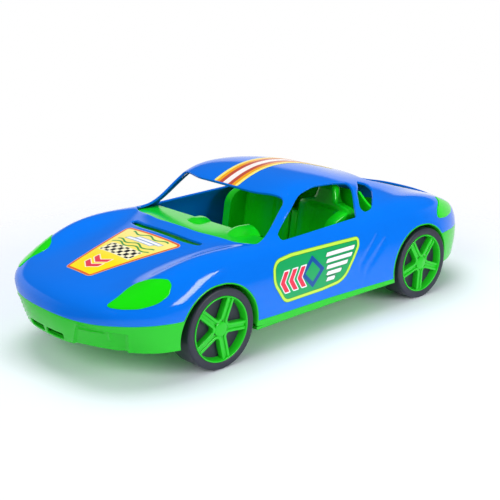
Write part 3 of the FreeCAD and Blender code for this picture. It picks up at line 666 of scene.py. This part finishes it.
def on_skin(targets, axes, allowed):
    """Left-half surface points whose coordinates in two axes match the targets.

    Newton's method starts from the nearest allowed point of a coarse grid.
    """
    start = np.flatnonzero(allowed(SEARCH))
    gap = ((targets[:, None] - SEARCH[start][None][:, :, axes]) ** 2).sum(2)
    nearest = start[gap.argmin(1)]
    u, v = SEARCH_U[nearest].copy(), SEARCH_V[nearest].copy()
    for _ in range(8):
        miss = targets - surface(u, v)[:, axes]
        du, dv = (d[:, axes] for d in slopes(u, v))
        det = du[:, 0] * dv[:, 1] - du[:, 1] * dv[:, 0]
        det = np.where(np.abs(det) < 1, np.inf, det)
        u += np.clip((miss[:, 0] * dv[:, 1] - miss[:, 1] * dv[:, 0]) / det, -0.3, 0.3)
        v += np.clip((du[:, 0] * miss[:, 1] - du[:, 1] * miss[:, 0]) / det, -0.3, 0.3)
        u, v = np.clip(u, 0, U_END), np.clip(v, V_END / 2, V_END)
    return surface(u, v)


def side_x(y, z):
    """How far out the skin's flank lies at a station and height."""
    y, z = np.broadcast_arrays(y, z)
    return on_skin(np.stack([y, z], 1).astype(float), [1, 2], lambda p: p[:, 0] > 40)[:, 0]


def top_z(x, y):
    """Height of the skin over a point of the plan."""
    return on_skin(np.stack([np.abs(x), y], 1).astype(float), [0, 1], lambda p: p[:, 2] > 55)[:, 2]


def outline_at(height, count=400):
    """Plan outline of the skin at a height, found by halving along rays from the sheet's middle."""
    turn = np.linspace(0, 2 * np.pi, count, endpoint=False)
    ray = np.stack([np.cos(turn), np.sin(turn)], 1)
    ray /= np.abs(ray).max(1, keepdims=True)
    near, far = np.full(count, 0.3), np.ones(count)
    for _ in range(24):
        t = (near + far) / 2
        p = surface((1 + t * ray[:, 0]) * U_END / 2, (1 + t * ray[:, 1]) * V_END / 2)
        above = p[:, 2] > height
        near, far = np.where(above, t, near), np.where(above, far, t)
    return p


def make_body():
    """Blue shell: the whole surface above the colour split, less wheel openings, windows, slot and lamps."""
    us = steps([0.4, 1.2, U_END - 1.2, U_END - 0.4], [0.07, 0.062, 0.07])
    vs = steps([0.05, V_END - 0.05], [0.073])
    lines = [arches, above_split, side_window, quarter_window, windscreen, rear_window, bonnet_slot]
    cuts = [kept(line, EDGE) for line in lines] + [kept(lamp, 0.25) for lamp in (headlamp, taillamp)]
    body = add_mesh("blue_shell", *moulding(us, vs, cuts, relief=grooves))
    dress(body, blue_abs, "blue_shell", "base", "body_shell")


def bumper_relief(p):
    """Sunk panel on either side of the front bumper inside a thin raised frame, with a bar and a fin."""
    gap = panel_outline(left_half(p))
    x, z = np.abs(p[:, 0]), p[:, 2]
    bar = bell(z - 40.2 + 0.06 * (x - 38), 0.7) * (np.abs(x - 46) < 9)
    fin = bell(x - 56 - 0.35 * (z - 36), 0.8) * (np.abs(z - 36.5) < 4.5)
    height = 0.5 * bell(gap - 0.9, 0.6) - 1.6 * fade(gap, 0.25)
    return np.where(p[:, 1] < -150, height + np.where(gap < 0, np.maximum(bar, fin), 0), 0)


def make_skirt():
    """Bumpers and sills: the same surface below the colour split."""
    us = steps([0.0, 2.2, U_END - 2.2, U_END], [0.02, 0.07, 0.03])
    vs = steps([0.0, 2.2, V_END - 2.2, V_END], [0.035, 0.05, 0.035])
    cuts = [kept(arches, EDGE - LINER), kept(lambda p: -above_split(p), EDGE * 0.5),
            kept(lambda p: p[:, 2] - line_height(BOTTOM_LINES, p[:, 1]), EDGE), kept(intake, 0.3)]
    skin = add_mesh("green_skirt", *moulding(us, vs, cuts, relief=bumper_relief))
    dress(skin, green_abs, "green_base", "base", "chassis")


def slab(y, half, z_low, z_high):
    """Flat plate across the car whose half-width changes along it."""
    loop = [np.stack([x, y, z], 1) for x, z in (
        (-half, z_low), (half, z_low), (half, z_high), (-half, z_high))]
    return capped(np.stack(loop, 1))


def make_floor():
    """Flat floor between the wheels, raised floors in both bumpers, and the risers between them."""
    outline = outline_at(END_FLOOR)
    tangent = np.roll(outline, -1, 0) - np.roll(outline, 1, 0)
    normal = unit(np.stack([tangent[:, 1], -tangent[:, 0]], 1))
    normal *= np.sign((normal * outline[:, :2]).sum(1, keepdims=True))
    inset = outline[:, :2] - normal * (WALL - 0.2)
    left = inset[inset[:, 0] > 0]
    left = left[left[:, 1].argsort()]
    narrow = ARCH_INNER + ARCH_WALL
    breaks = [left[0, 1], STEP_FRONT, FRONT_ARCH[1] + FRONT_ARCH[2], REAR_ARCH[0] - REAR_ARCH[2],
              STEP_REAR, left[-1, 1]]
    parts = []
    for k, (a, b) in enumerate(zip(breaks[:-1], breaks[1:])):
        y = (a + b) / 2 - (b - a) / 2 * np.cos(np.linspace(0, np.pi, 24))
        half = np.interp(y, left[:, 1], left[:, 0]) if k in (0, 2, 4) else np.full(len(y), narrow)
        low = np.full(len(y), END_FLOOR if k in (0, 4) else FLOOR)
        parts.append(slab(y, half, low, low + FLOOR_WALL))
    for y in (STEP_FRONT - FLOOR_WALL, STEP_REAR):
        ends, half, low = np.array([y, y + FLOOR_WALL]), np.full(2, narrow), np.full(2, FLOOR)
        parts.append(slab(ends, half, low, low + END_FLOOR - FLOOR + FLOOR_WALL))
    return parts


def arch_path(arch, shrink, count=72):
    """Side view of a wheel opening, from its low front end over the top to its low rear end."""
    first, second, radius = arch
    radius -= shrink
    dip = math.asin((AXLE_HEIGHT - FLOOR) / radius)
    t = np.linspace(math.pi + dip, -dip, count)
    y = np.where(np.cos(t) < 0, first, second) + radius * np.cos(t)
    return y, AXLE_HEIGHT + radius * np.sin(t)


def make_well(arch, axle):
    """Wheel well on the left: a round-edged liner out to the skin, its end wall, and the axle's boss.

    The boss stands on a foot that comes up from the floor.
    """
    columns = []
    for shrink, back in ((0, None), (0, 0.4), (0.12 * LINER, 0.12), (0.5 * LINER, 0.0),
                         (0.88 * LINER, 0.12), (LINER, 0.4), (LINER, None)):
        y, z = arch_path(arch, shrink)
        wall = ARCH_INNER + (ARCH_WALL if shrink else 0)
        x = np.full(len(y), wall)
        if back is not None:
            x = np.where(z < line_height(BOTTOM_LINES, y) + 0.3, wall + 0.5, side_x(y, z) - back)
        columns.append(np.stack([x, y, z], 1))
    middle, walls = (arch[0] + arch[1]) / 2, (ARCH_INNER, ARCH_INNER + ARCH_WALL)
    ends = np.repeat([[(x, middle, AXLE_HEIGHT)] for x in walls], len(columns[0]), 1)
    liner = lattice(np.concatenate([ends[:1], columns, ends[1:]]))
    boss = revolve([(BOSS_BACK, 0), (BOSS_BACK, BOSS_RADIUS - 0.4), (BOSS_BACK + 0.4, BOSS_RADIUS),
                    (BOSS_FACE, BOSS_RADIUS), (BOSS_FACE, 0)], axle, 40)
    front, rear, low = axle - BOSS_RADIUS, axle + BOSS_RADIUS, FLOOR + 1
    foot = capped(np.array([[(x, front, low), (x, rear, low), (x, rear, AXLE_HEIGHT), (x, front, AXLE_HEIGHT)]
                            for x in (BOSS_BACK, BOSS_FACE - 0.5)]))
    return [liner, boss, foot]


def make_base_inside():
    """Floor and the four wheel wells, the right-hand ones mirrored."""
    parts = make_floor()
    for arch, axle in ((FRONT_ARCH, FRONT_AXLE), (REAR_ARCH, REAR_AXLE)):
        for part in make_well(arch, axle):
            parts += [part, mirrored(part)]
    dress(add_mesh("green_floor_and_wells", *joined(parts)), green_abs, "green_base", "base")


def patch_range(inside, margin=0.15):
    """Parameter window round the part of the surface where a distance function is negative."""
    grid = np.meshgrid(np.linspace(0, U_END, 260), np.linspace(0, V_END, 240), indexing="ij")
    u, v = (a.ravel() for a in grid)
    hit = inside(surface(u, v)) < 0
    return u[hit].min() - margin, u[hit].max() + margin, v[hit].min() - margin, v[hit].max() + margin


def make_patch(name, region, sign, mat, slot, node, form, spacing, marks=None):
    """Panel cut from the body surface by one outline, in a form of (rise, wall, edge rounding).

    It keeps each point's distance inside the outline and from its printed marks, in millimetres.
    """
    def inside(p):
        one_side = -sign * p[:, 0] if sign else np.full(len(p), -8.0)
        return np.maximum(region(p), one_side)
    u0, u1, v0, v1 = patch_range(inside)
    us = np.linspace(u0, u1, int((u1 - u0) / spacing) + 2)
    vs = np.linspace(v0, v1, int((v1 - v0) / spacing) + 2)
    rise, wall, edge = form
    verts, quads, tris = moulding(us, vs, [kept(lambda p: -inside(p), edge)], rise, wall, edge)
    obj = add_mesh(name, verts, quads, tris)
    fields = {"edge_gap": lambda p: -inside(p), **marks} if marks else {}
    for key, field in fields.items():
        layer = obj.data.attributes.new(key, "FLOAT", "POINT")
        layer.data.foreach_set("value", np.clip(field(verts), -20, 8).astype(np.float32))
    return dress(obj, mat, slot, "base", node)


def chevrons(across, along, tips, reach, half):
    """Distance from arrow heads that point forwards: bands beside two slanting lines, cut off sideways."""
    side = np.abs(across)
    gaps = [np.maximum(np.abs(along - tip - 0.6 * side) - half, side - reach) for tip in tips]
    return np.minimum.reduce(gaps)


def bars(across, along, rows, half):
    """Distance from bars along the car with slanting ends, each given as (place across, start, end)."""
    gaps = []
    for place, start, end in rows:
        lean = 0.7 * (across - place)
        ends = np.maximum(start + lean - along, along - end - lean)
        gaps.append(np.maximum(np.abs(across - place) - half, ends))
    return np.minimum.reduce(gaps)


def bonnet_marks():
    """Arrow heads at the front, a band of squares, green waves and a row of bars."""
    def flag(p):
        return np.maximum(np.abs(p[:, 0]) - 18, np.abs(p[:, 1] + 135) - 6)

    def squares(p):
        cells = 1.3 * np.sin(np.pi * p[:, 0] / 4) * np.sin(np.pi * (p[:, 1] + 135) / 4)
        return np.maximum(flag(p), cells)

    def waves(p):
        lines = [np.abs(p[:, 1] - y - 1.6 * np.sin(p[:, 0] / 3.2 + k)) - 0.8
                 for k, y in enumerate((-126, -122, -108))]
        return np.maximum(np.minimum.reduce(lines), np.abs(p[:, 0]) - 22)
    return {
        "arrows": lambda p: chevrons(p[:, 0], p[:, 1], (-163, -155), 8, 2.2),
        "flag": flag, "squares": squares, "waves": waves,
        "dashes": lambda p: bars(p[:, 1], p[:, 0], ((-116.5, -16, 14), (-113, -8, 20)), 1.2),
    }


def door_marks():
    """Arrow heads inside the front of the film, a diamond ring behind them and long bars at the rear."""
    def ring(p):
        diamond = (np.abs(p[:, 1] + 18.5) + np.abs(p[:, 2] - 52.5)) / math.sqrt(2)
        return np.abs(diamond - 7.4) - 1.7
    rows = ((62.3, -3, 28), (57.3, -3, 25), (52.3, -3, 20), (47.3, -3, 13), (42.6, -3, 6))
    return {
        "arrows": lambda p: chevrons(p[:, 2] - 51, p[:, 1], (-51, -42, -33), 8, 2.3),
        "ring": ring,
        "dashes": lambda p: bars(p[:, 2], p[:, 1], rows, 1.5),
    }


def stripes(p):
    """Roof label: a straight band over the middle of the roof."""
    ends = np.maximum(STRIPE_FRONT - p[:, 1], p[:, 1] - STRIPE_BACK)
    return np.maximum(np.maximum(np.abs(p[:, 0]) - STRIPE_HALF, ends), 90 - p[:, 2])


def revolve(profile, y, count=128):
    """Ring about a wheel's axle: (x, radius) points carried round the full circle."""
    profile = np.array(profile, dtype=float)
    turn = np.linspace(0, 2 * np.pi, count, endpoint=False)
    r = profile[:, 1:]
    x = np.repeat(profile[:, :1], count, 1)
    return lattice(np.stack([x, y + r * np.cos(turn), AXLE_HEIGHT + r * np.sin(turn)], -1), True, True)


def arc(cx, cr, radius, start, end, count=6):
    """Profile points on a circle arc about (x, radius), from start to end degrees."""
    t = np.radians(np.linspace(start, end, count))
    return [(cx + radius * math.cos(a), cr + radius * math.sin(a)) for a in t]


def tyre_shape(y):
    """Black wheel: square-shouldered tyre, web behind the rim and a hub that is open at the back."""
    inner, web_back, tread_back = TYRE_FACE - TYRE_WIDTH, WEB_FACE - WEB_WALL, TYRE_RADIUS - TYRE_WALL
    centre = TYRE_RADIUS - TYRE_SHOULDER
    profile = (arc(inner + TYRE_SHOULDER, centre, TYRE_SHOULDER, 180, 90)
               + arc(TYRE_FACE - TYRE_SHOULDER, centre, TYRE_SHOULDER, 90, 8)
               + [(TYRE_FACE - 0.15, TYRE_BORE + 1.0), (TYRE_FACE - 0.5, TYRE_BORE + 0.1),
                  (TYRE_FACE - 1.0, TYRE_BORE), (WEB_FACE, TYRE_BORE), (WEB_FACE, 0),
                  (HUB_BACK, 0), (HUB_BACK, HUB_RADIUS), (web_back, HUB_RADIUS),
                  (web_back, tread_back), (inner, tread_back)])
    return revolve(profile, y)


def window_curve(distance):
    """Parallel curve of a wheel window's V-shaped edge, that far into the spokes, in the wheel's plane."""
    half, radius, off = math.pi / SPOKES, WINDOW_CORNER + distance, SPOKE_HALF - distance
    c, s = math.cos(half), math.sin(half)
    centre = (SPOKE_HALF + WINDOW_CORNER) / s
    turn = np.linspace(math.pi / 2 + half, 1.5 * math.pi - half, 13)
    bend = np.stack([centre + radius * np.cos(turn), radius * np.sin(turn)], 1)
    length = math.sqrt(RIM_REACH ** 2 - off ** 2)
    end = np.array([length * c + off * s, length * s - off * c])
    t = np.linspace(0, 1, 5)[:-1, None]
    side = end * (1 - t) + bend[0] * t
    return np.concatenate([side, bend, side[::-1] * [1, -1]])


def rim_shape(y, phase):
    """Green insert: a deep ring with a thin bright lip and five spokes with a ridge along both sides.

    Each spoke is two halves of the sweep that follows the window's edge: the wall, the round ridge,
    and the groove down to the middle of the spoke.
    """
    outer, back, ridge = TYRE_BORE - RIM_GAP, WEB_FACE + RIM_GAP, RIM_FACE - RIDGE_DROP
    plate = ridge - RIDGE_HEIGHT
    lip = [(0, 0), (0.4, 0.1), (0.6, 0.35), (0.6, 0.75), (0.4, 1.0), (-0.2, 1.3)]
    ring = revolve([(back, outer)] + [(RIM_FACE + rise, outer - inset) for rise, inset in lip]
                   + [(back, outer - 2.4)], y)
    profile = [(0, back), (0, ridge - 0.35), (0.1, ridge - 0.1), (0.35, ridge), (RIDGE - 0.35, ridge),
               (RIDGE - 0.1, ridge - 0.1), (RIDGE, ridge - 0.35), (RIDGE + 0.1, plate + 0.15),
               (RIDGE + 0.3, plate), (SPOKE_HALF, plate)]
    cap = revolve([(plate, CAP_RADIUS), (ridge - 0.35, CAP_RADIUS), (ridge - 0.1, CAP_RADIUS - 0.1),
                   (ridge + 0.05, CAP_RADIUS - 0.5), (ridge + 0.35, 2), (ridge + 0.4, 0)], y, 60)
    parts = [ring, cap]
    curves = np.stack([window_curve(d) for d, _ in profile])
    x = np.repeat(np.array([[x] for _, x in profile]), curves.shape[1], 1)
    for k in range(SPOKES):
        turn = math.radians(phase + 360 / SPOKES * (k + 0.5))
        a = curves[..., 0] * math.cos(turn) - curves[..., 1] * math.sin(turn)
        b = curves[..., 0] * math.sin(turn) + curves[..., 1] * math.cos(turn)
        parts.append(lattice(np.stack([x, y + a, AXLE_HEIGHT + b], -1)))
    return joined(parts)


def make_wheels():
    """Four wheels, each a black wheel and its green insert, the right-hand ones mirrored."""
    for end, y, phase in (("front", FRONT_AXLE, 65.6), ("rear", REAR_AXLE, 50.4)):
        shapes = (("black_wheel", tyre_shape(y), wheel_black, "black_wheel", "tyre_"),
                  ("green_insert", rim_shape(y, phase), green_abs, "green_rim", "rim_"))
        for side in ("left", "right"):
            name = "%s_%s" % (end, side)
            for label, part, mat, slot, node in shapes:
                part = part if side == "left" else mirrored(part)
                dress(add_mesh("%s_%s" % (label, name), *part), mat, slot, "wheel_" + name, node + name)


def oval(corner, count=72):
    """Round-cornered square loop: cosine and sine drawn out by a power below one."""
    turn = np.linspace(0, 2 * np.pi, count, endpoint=False)
    return [np.sign(a) * np.abs(a) ** corner for a in (np.cos(turn), np.sin(turn))]


def reclined(part, foot=32.0, angle=9.0):
    """Leans a piece back about the line across the seat's foot, and keeps it above the floor."""
    verts, quads = part
    c, s = math.cos(math.radians(angle)), math.sin(math.radians(angle))
    x, y, z = (verts - [0, foot, FLOOR_TOP]).T
    return np.stack([x, foot + y * c + z * s, FLOOR_TOP + np.maximum(z * c - y * s, 0)], 1), quads


def make_seat(side):
    """Bucket seat: a reclined back lofted through round-cornered sections, and a cushion lofted along it.

    The back has a sunk centre panel with two upright folds and a narrow headrest. A deep bolster stands
    at its outer side, and a low step at its inner side.
    """
    # Back: half-widths and half-depths by height
    z = np.concatenate([np.linspace(FLOOR_TOP, 79, 24), np.linspace(80, 103, 40)])
    half = np.interp(z, [FLOOR_TOP, 81, 84, 86, 87.3, 88.3, 89.5, 92, 97, 100.5, 102.3, 103],
                     [29.5, 29.5, 28.6, 26.4, 23.0, 17.5, 13.0, 11.4, 9.8, 8.4, 6.5, 3.5])
    thick = np.interp(z, [FLOOR_TOP, 84, 88, 99, 101.5, 103], [5.5, 5.5, 5.0, 4.6, 3.8, 1.8])
    c, s = oval(0.42)
    x, y = half[:, None] * c, thick[:, None] * s
    height = np.repeat(z[:, None], len(c), 1)
    panel = 2.6 * fade(np.abs(x) - 15, 0.9) + 0.7 * bell(np.abs(x) - 6.5, 1.2)
    y = y + np.where(y < 0, panel * fade(height - 84, 0.8), 0) + SEAT_BACK
    parts = [capped(np.stack([x + SEAT_CENTRE, y, height], -1))]
    # Outer bolster: one side-view outline carried across, smaller at its rounded end
    bolster = rounded([(SEAT_BACK, FLOOR_TOP, 1), (SEAT_BACK, 84, 2), (28, 84, 10), (14, 75, 14),
                       (14, FLOOR_TOP, 1)], 10)
    loops = [np.insert(bolster + (bolster.mean(0) - bolster) * shrink, 0, at, 1) for at, shrink in (
        (56, 0.0), (63.2, 0.0), (64.2, 0.012), (64.75, 0.04), (65, 0.08))]
    parts.append(capped(np.array(loops)))
    # Inner step: upright oval column with a rounded top
    c, s = oval(0.3)
    loops = [np.column_stack([4.5 + (3.5 - inset) * c, SEAT_BACK + (5.5 - inset) * s, np.full(len(c), at)])
             for at, inset in ((FLOOR_TOP, 0), (73, 0), (74.1, 0.3), (74.8, 0.9), (75, 1.8))]
    parts.append(capped(np.array(loops)))
    parts = [reclined(part) for part in parts]
    # Cushion: ovals along the car that swell from its round nose
    y = np.concatenate([-14 - 6 * np.cos(np.linspace(0, np.pi / 2, 8)), np.linspace(-12, SEAT_BACK, 24)])
    nose = np.clip((y + 20) / 6, 0, 1)
    swell = np.sqrt(1 - (1 - nose) ** 2) * 0.5 + 0.5
    c, s = oval(0.36)
    x, z = (26.5 * (0.9 + 0.1 * swell))[:, None] * c, (11.95 * swell)[:, None] * s
    raised = 1.6 * fade(18 - np.abs(x), 0.8) - 1.6 - 0.9 * bell(y[:, None] - 8, 1.2)
    z = z + np.where(z > 0, raised, 0) + (46.5 + FLOOR_TOP) / 2
    z = z - np.interp(y, [-20, 40], [0, 4])[:, None] * (z > 40)
    parts.append(capped(np.stack([x + SEAT_CENTRE, np.repeat(y[:, None], len(c), 1), z], -1)))
    part = joined(parts) if side == "left" else mirrored(joined(parts))
    dress(add_mesh("bucket_seat_" + side, *part, smooth=60), cabin_green_painted_light, "green_interior", "base",
          "seat_" + side)


def make_bulkhead():
    """Panel behind the seats, trimmed to the inside of the shell."""
    z = np.linspace(FLOOR_TOP, 95.5, 40)
    half = side_x(BULKHEAD, z) - WALL - CABIN_GAP
    corners = ((-half, 0), (half, 0), (half, 2.2), (-half, 2.2))
    loop = [np.stack([x, np.full(len(z), BULKHEAD + back), z], 1) for x, back in corners]
    panel = add_mesh("bulkhead_panel", *capped(np.stack(loop, 1)))
    dress(panel, cabin_green_painted_light, "green_interior", "base", "rear_bulkhead")


def make_dashboard():
    """Bent sheet under the windscreen, kept below the shell, with two round instrument hoods.

    A hood swells out of the sheet as a quarter sine, and ends in a round edge above the cabin.
    """
    profile = rounded([(-101, 76.2, 0.5), (-70, 78.6, 40), (-42, 79, 4), (-42, FLOOR_TOP, 0.5),
                       (-44.2, FLOOR_TOP, 0.5), (-44.2, 76.8, 2), (-70, 76.4, 40), (-101, 74, 0.5)], 5)
    y, z = profile.T
    half = side_x(y, np.minimum(z, 70)) - WALL - CABIN_GAP - 0.1
    rows = []
    for t in np.linspace(-1, 1, 49):
        ceiling = top_z(np.maximum(np.abs(t) * half, 0.5), y) - WALL - CABIN_GAP - 0.05
        rows.append(np.stack([t * half, y, np.minimum(z, np.where(z > 60, ceiling, z))], 1))
    parts = [capped(np.array(rows))]
    turn = np.linspace(0, 2 * np.pi, 64, endpoint=False)
    swell = np.sin(np.linspace(0, np.pi / 2, 14))
    for x0, radius, rise, y0, y1 in ((SEAT_CENTRE, 15, 4.5, -60, -38), (-13, 20, 2.4, -58, -44)):
        loops = [(y0 + (y1 - 8 - y0) * k / 13, radius, rise * up - 0.6 * (1 - up))
                 for k, up in enumerate(swell)]
        loops += [(y1 - 1.4, radius, rise), (y1 - 0.5, radius - 0.3, rise), (y1, radius - 1.2, rise)]
        at, r, lift = np.array(loops).T[:, :, None]
        height = np.maximum(79 + lift - radius + r * np.sin(turn), 76.8)
        parts.append(capped(np.stack([x0 + r * np.cos(turn), at + 0 * turn, height], -1)))
    shelf = add_mesh("cowl_shelf", *joined(parts))
    dress(shelf, cabin_green_painted_light, "green_interior", "base", "dashboard")


def make_stage():
    """White floor that fades out round the car into a plain world, which the camera sees as white."""
    corners = np.array([(-1, -1, 0), (1, -1, 0), (1, 1, 0), (-1, 1, 0)])
    floor = add_mesh("floor", corners * 6000, np.array([[0, 1, 2, 3]]))
    mat, tree = material("white_studio_board")
    board = add_node(tree, "BsdfDiffuse", Color=linear("#f6faff"))
    clear = add_node(tree, "BsdfTransparent")
    where = add_node(tree, "TexCoord").outputs["Object"]
    radius = add_node(tree, "VectorMath", [("Vector", where)], operation="LENGTH")
    far = add_node(tree, "MapRange", [("Value", radius.outputs["Value"])],
                   interpolation_type="SMOOTHSTEP", From_Min=0.18, From_Max=0.44)
    finish_material(tree, add_node(tree, "MixShader", [
        (0, far.outputs["Result"]), (1, board.outputs[0]), (2, clear.outputs[0])]))
    floor.data.materials.append(mat)


def make_world():
    """Plain room: even light on the car, white to the camera, and a white backdrop in its gloss.

    Glossy and transmitted rays see the backdrop low behind the car, and a dimmer room above and beside
    it. The backdrop's share is a smooth step towards the rear times a smooth step downwards.
    """
    world = bpy.data.worlds.new("studio")
    bpy.context.scene.world = world
    world.use_nodes = True
    tree = world.node_tree
    tree.nodes.clear()
    path = add_node(tree, "LightPath").outputs
    light = add_node(tree, "Background", Color=linear("#ecf4ff"), Strength=0.38)
    white = add_node(tree, "Background", Color=(1, 1, 1, 1), Strength=1.0)
    heading = add_node(tree, "TexCoord").outputs["Object"]
    towards = add_node(tree, "VectorMath", [(0, heading)], operation="DOT_PRODUCT")
    towards.inputs[1].default_value = (-0.74, 0.67, 0)
    level = add_node(tree, "SeparateXYZ", [("Vector", heading)])
    behind = add_node(tree, "MapRange", [("Value", towards.outputs["Value"])],
                      interpolation_type="SMOOTHSTEP", From_Min=0.0, From_Max=0.5)
    low = add_node(tree, "MapRange", [("Value", level.outputs["Z"])],
                   interpolation_type="SMOOTHSTEP", From_Min=0.29, From_Max=0.38, To_Min=1.0, To_Max=0.0)
    sheet = add_node(tree, "Math", [(0, behind.outputs["Result"]), (1, low.outputs["Result"])],
                     operation="MULTIPLY")
    room = add_node(tree, "MapRange", [("Value", sheet.outputs["Value"])], To_Min=0.12, To_Max=1.0)
    mirror = add_node(tree, "Background", [("Strength", room.outputs["Result"])], Color=(1, 1, 1, 1))
    bent = add_node(tree, "Math", [(0, path["Is Glossy Ray"]), (1, path["Is Transmission Ray"])],
                    operation="MAXIMUM")
    lit = add_node(tree, "MixShader", [
        (0, bent.outputs["Value"]), (1, light.outputs[0]), (2, mirror.outputs[0])])
    shown = add_node(tree, "MixShader", [
        (0, path["Is Camera Ray"]), (1, lit.outputs[0]), (2, white.outputs[0])])
    add_node(tree, "OutputWorld", [("Surface", shown.outputs[0])])


def to_matrix(side, up, back, place):
    """Place and turn as a matrix: its columns are the side, up and back directions and the place."""
    rows = [[side[i], up[i], back[i], place[i]] for i in range(3)] + [[0, 0, 0, 1]]
    return Matrix(rows)


def area_light(name, place, target, size, watts, top=(0, 0, 1), mirrored_in_gloss=False):
    """Softbox at a place in metres that faces its target, its second side along the top direction."""
    data = bpy.data.lights.new(name, "AREA")
    data.shape = "RECTANGLE"
    data.size, data.size_y = size
    data.energy = watts
    lamp = put(name, data)
    back = unit(np.array(place, dtype=float) - np.array(target, dtype=float))
    side = unit(np.cross(top, back))
    lamp.visible_glossy = mirrored_in_gloss
    lamp.matrix_world = to_matrix(side, np.cross(back, side), back, place)


def make_lights():
    """Two softboxes that light the car evenly, and a strip that its gloss shows as one narrow bar."""
    area_light("softbox_front", (0.4, -1.45, 0.95), (0, 0, 0.05), (1.0, 1.0), 10.5)
    area_light("softbox_top", (-0.3, 0.1, 1.8), (0, 0, 0), (1.2, 1.2), 18)
    area_light("strip_side", (1.22, 0.31, 0.39), (0.082, -0.135, 0.065), (0.22, 0.75), 9.0,
               top=(-0.27, 0.34, 0.52), mirrored_in_gloss=True)


def make_camera():
    """Camera at the photograph's angle: azimuth and elevation of the line of sight, with a slight roll."""
    azimuth, elevation, roll = (math.radians(a) for a in (47.947, 17.448, -0.187))
    back = np.array([math.sin(azimuth) * math.cos(elevation), -math.cos(azimuth) * math.cos(elevation),
                     math.sin(elevation)])
    right = unit(np.cross(-back, [0, 0, 1]))
    up = np.cross(right, -back)
    side = math.cos(roll) * right + math.sin(roll) * up
    top = -math.sin(roll) * right + math.cos(roll) * up
    data = bpy.data.cameras.new("camera")
    data.sensor_width = 36.0
    data.lens = 74.62
    data.clip_start = 0.01
    camera = put("camera", data)
    camera.matrix_world = to_matrix(side, top, back, (0.604145, -0.551382, 0.303308))
    bpy.context.scene.camera = camera


def main():
    """Builds the studio, then the car from its shell inwards, and gives the axle rods their metal."""
    make_camera()
    make_stage()
    make_world()
    make_lights()
    make_body()
    make_skirt()
    make_base_inside()
    for side, sign in (("left", 1), ("right", -1)):
        for lamp, outline in (("headlamp", headlamp), ("taillamp", taillamp)):
            make_patch("%s_lens_%s" % (lamp, side), outline, sign, lens_green, "green_lens",
                       "%s_%s" % (lamp, side), LENS_FORM, 0.03)
        make_patch("door_film_" + side, door_label, sign, film_door, "lime_label", "door_label_" + side,
                   FILM_FORM, 0.025, door_marks())
        make_seat(side)
    make_patch("bonnet_film", bonnet_label, 0, film_bonnet, "yellow_label", "bonnet_label",
               FILM_FORM, 0.025, bonnet_marks())
    make_patch("roof_film", stripes, 0, film_roof, "stripe_label", "roof_stripes",
               FILM_FORM, 0.03, {"bands": lambda p: -np.abs(p[:, 0])})
    make_bulkhead()
    make_dashboard()
    make_wheels()
    for name in ("front_axle", "rear_axle"):
        nodes[name].data.materials.clear()
        nodes[name].data.materials.append(steel)


main()
bpy.context.scene.view_settings.view_transform = "Standard"
